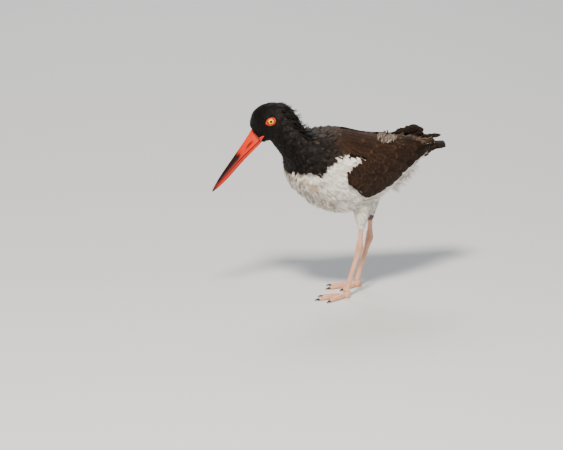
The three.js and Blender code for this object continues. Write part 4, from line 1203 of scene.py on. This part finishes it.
for side, lines in scute_lines.items():
    line_points, outwards, half_widths = (np.concatenate(part) for part in zip(*lines))
    starts = np.cumsum([0] + [len(points) for points, _, _ in lines])
    edges = [(k, k + 1) for a, b in zip(starts[:-1], starts[1:]) for k in range(a, b - 1)]
    path = bpy.data.meshes.new("scute_line_" + side)
    path.from_pydata((line_points * MM).tolist(), edges, [])
    directions = path.attributes.new("outward", "FLOAT_VECTOR", "POINT")
    directions.data.foreach_set("vector", outwards.astype(np.float32).ravel())
    widths = path.attributes.new("half_width", "FLOAT", "POINT")
    widths.data.foreach_set("value", (half_widths * SCUTE_WIDTH * MM).astype(np.float32))
    line = bpy.data.objects.new("scute_line_" + side, path)
    bpy.context.scene.collection.objects.link(line)
    modifier = line.modifiers.new("scutes", "NODES")
    modifier.node_group = scute_tree
    values = {"Spacing": SCUTE_SPACING * MM, "Thickness": SCUTE_THICK * MM, "Skin": SCUTE_SKIN}
    for item in scute_tree.interface.items_tree:
        if item.in_out == "INPUT" and item.name in values:
            modifier[item.identifier] = values[item.name]
    line.update_tag()
    evaluated = line.evaluated_get(bpy.context.evaluated_depsgraph_get())
    made = bpy.data.meshes.new_from_object(evaluated)
    line.modifiers.remove(modifier)
    scutes = bpy.data.objects.new("leg_scutes_" + side, made)
    bpy.context.scene.collection.objects.link(scutes)
    bpy.data.objects.remove(line)
    for face in made.polygons:
        face.use_smooth = True
    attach(scutes, "root")

# Camera, floor and light
# The camera looks from the front left and a little from above with a long lens, as the photo does. The
# floor is plain pale paint, and three soft lamps light the bird as in a studio.
VIEW_AZIMUTH, VIEW_ELEVATION = math.radians(-25), math.radians(14)
PHOTO_SIZE = (563, 450)
MM_PER_PIXEL = 1.22
ANCHOR_PIXEL = (345.0, 243.7)  # where the anchor, a point at the ankles' height between the legs, is seen
ANCHOR = Vector((SHIFT_X * MM, 0.0, 0.062))
back = Vector((math.sin(VIEW_AZIMUTH) * math.cos(VIEW_ELEVATION),
               -math.cos(VIEW_AZIMUTH) * math.cos(VIEW_ELEVATION), math.sin(VIEW_ELEVATION)))
right = Vector((math.cos(VIEW_AZIMUTH), math.sin(VIEW_AZIMUTH), 0.0))
upward = back.cross(right)
LENS_MM, SENSOR_MM = 500.0, 36.0
span = PHOTO_SIZE[0] * MM_PER_PIXEL * MM
distance = span * LENS_MM / SENSOR_MM
aim = (ANCHOR - right * (ANCHOR_PIXEL[0] - PHOTO_SIZE[0] / 2) * MM_PER_PIXEL * MM
       + upward * (ANCHOR_PIXEL[1] - PHOTO_SIZE[1] / 2) * MM_PER_PIXEL * MM)
camera = bpy.data.objects.new("camera", bpy.data.cameras.new("camera"))
camera.data.lens = LENS_MM
camera.data.sensor_width = SENSOR_MM
camera.data.clip_end = 60.0
camera.location = aim + back * distance
camera.rotation_mode = "QUATERNION"
camera.rotation_quaternion = back.to_track_quat("Z", "Y")
bpy.context.scene.collection.objects.link(camera)
bpy.context.scene.camera = camera

FLOOR_HALF = 14.0
floor_corners = np.array([[-1, -1, 0], [1, -1, 0], [1, 1, 0], [-1, 1, 0]]) * FLOOR_HALF
floor = mesh_object("floor", floor_corners, np.array([[0, 1, 2, 3]]))
floor_paint, floor_tree, floor_shader = new_material("pale_floor_paint", 0.8, 0.2)
floor_shader.inputs["Base Color"].default_value = (*linear("#dcdee0"), 1)
floor.data.materials.append(floor_paint)


LIT_POINT = Vector((0, 0, 0.15))


def lamp(name, place, size, watts, colour="#ffffff"):
    """A square soft lamp of some metres that faces the bird."""
    light = bpy.data.objects.new(name, bpy.data.lights.new(name, "AREA"))
    light.data.size = size
    light.data.energy = watts
    light.data.color = linear(colour)
    light.location = place
    light.rotation_mode = "QUATERNION"
    light.rotation_quaternion = (Vector(place) - LIT_POINT).to_track_quat("Z", "Y")
    bpy.context.scene.collection.objects.link(light)


lamp("key_light", (-1.0, -1.5, 2.3), 0.5, 142, "#fff4e4")
lamp("fill_light", (1.8, -1.8, 1.2), 1.6, 8, "#eef4ff")
lamp("back_light", (0.6, 2.0, 1.9), 1.0, 34)
world = bpy.data.worlds.new("studio")
bpy.context.scene.world = world
world.use_nodes = True
world.node_tree.nodes["Background"].inputs["Color"].default_value = (*linear("#dfe6ee"), 1)
world.node_tree.nodes["Background"].inputs["Strength"].default_value = 0.28
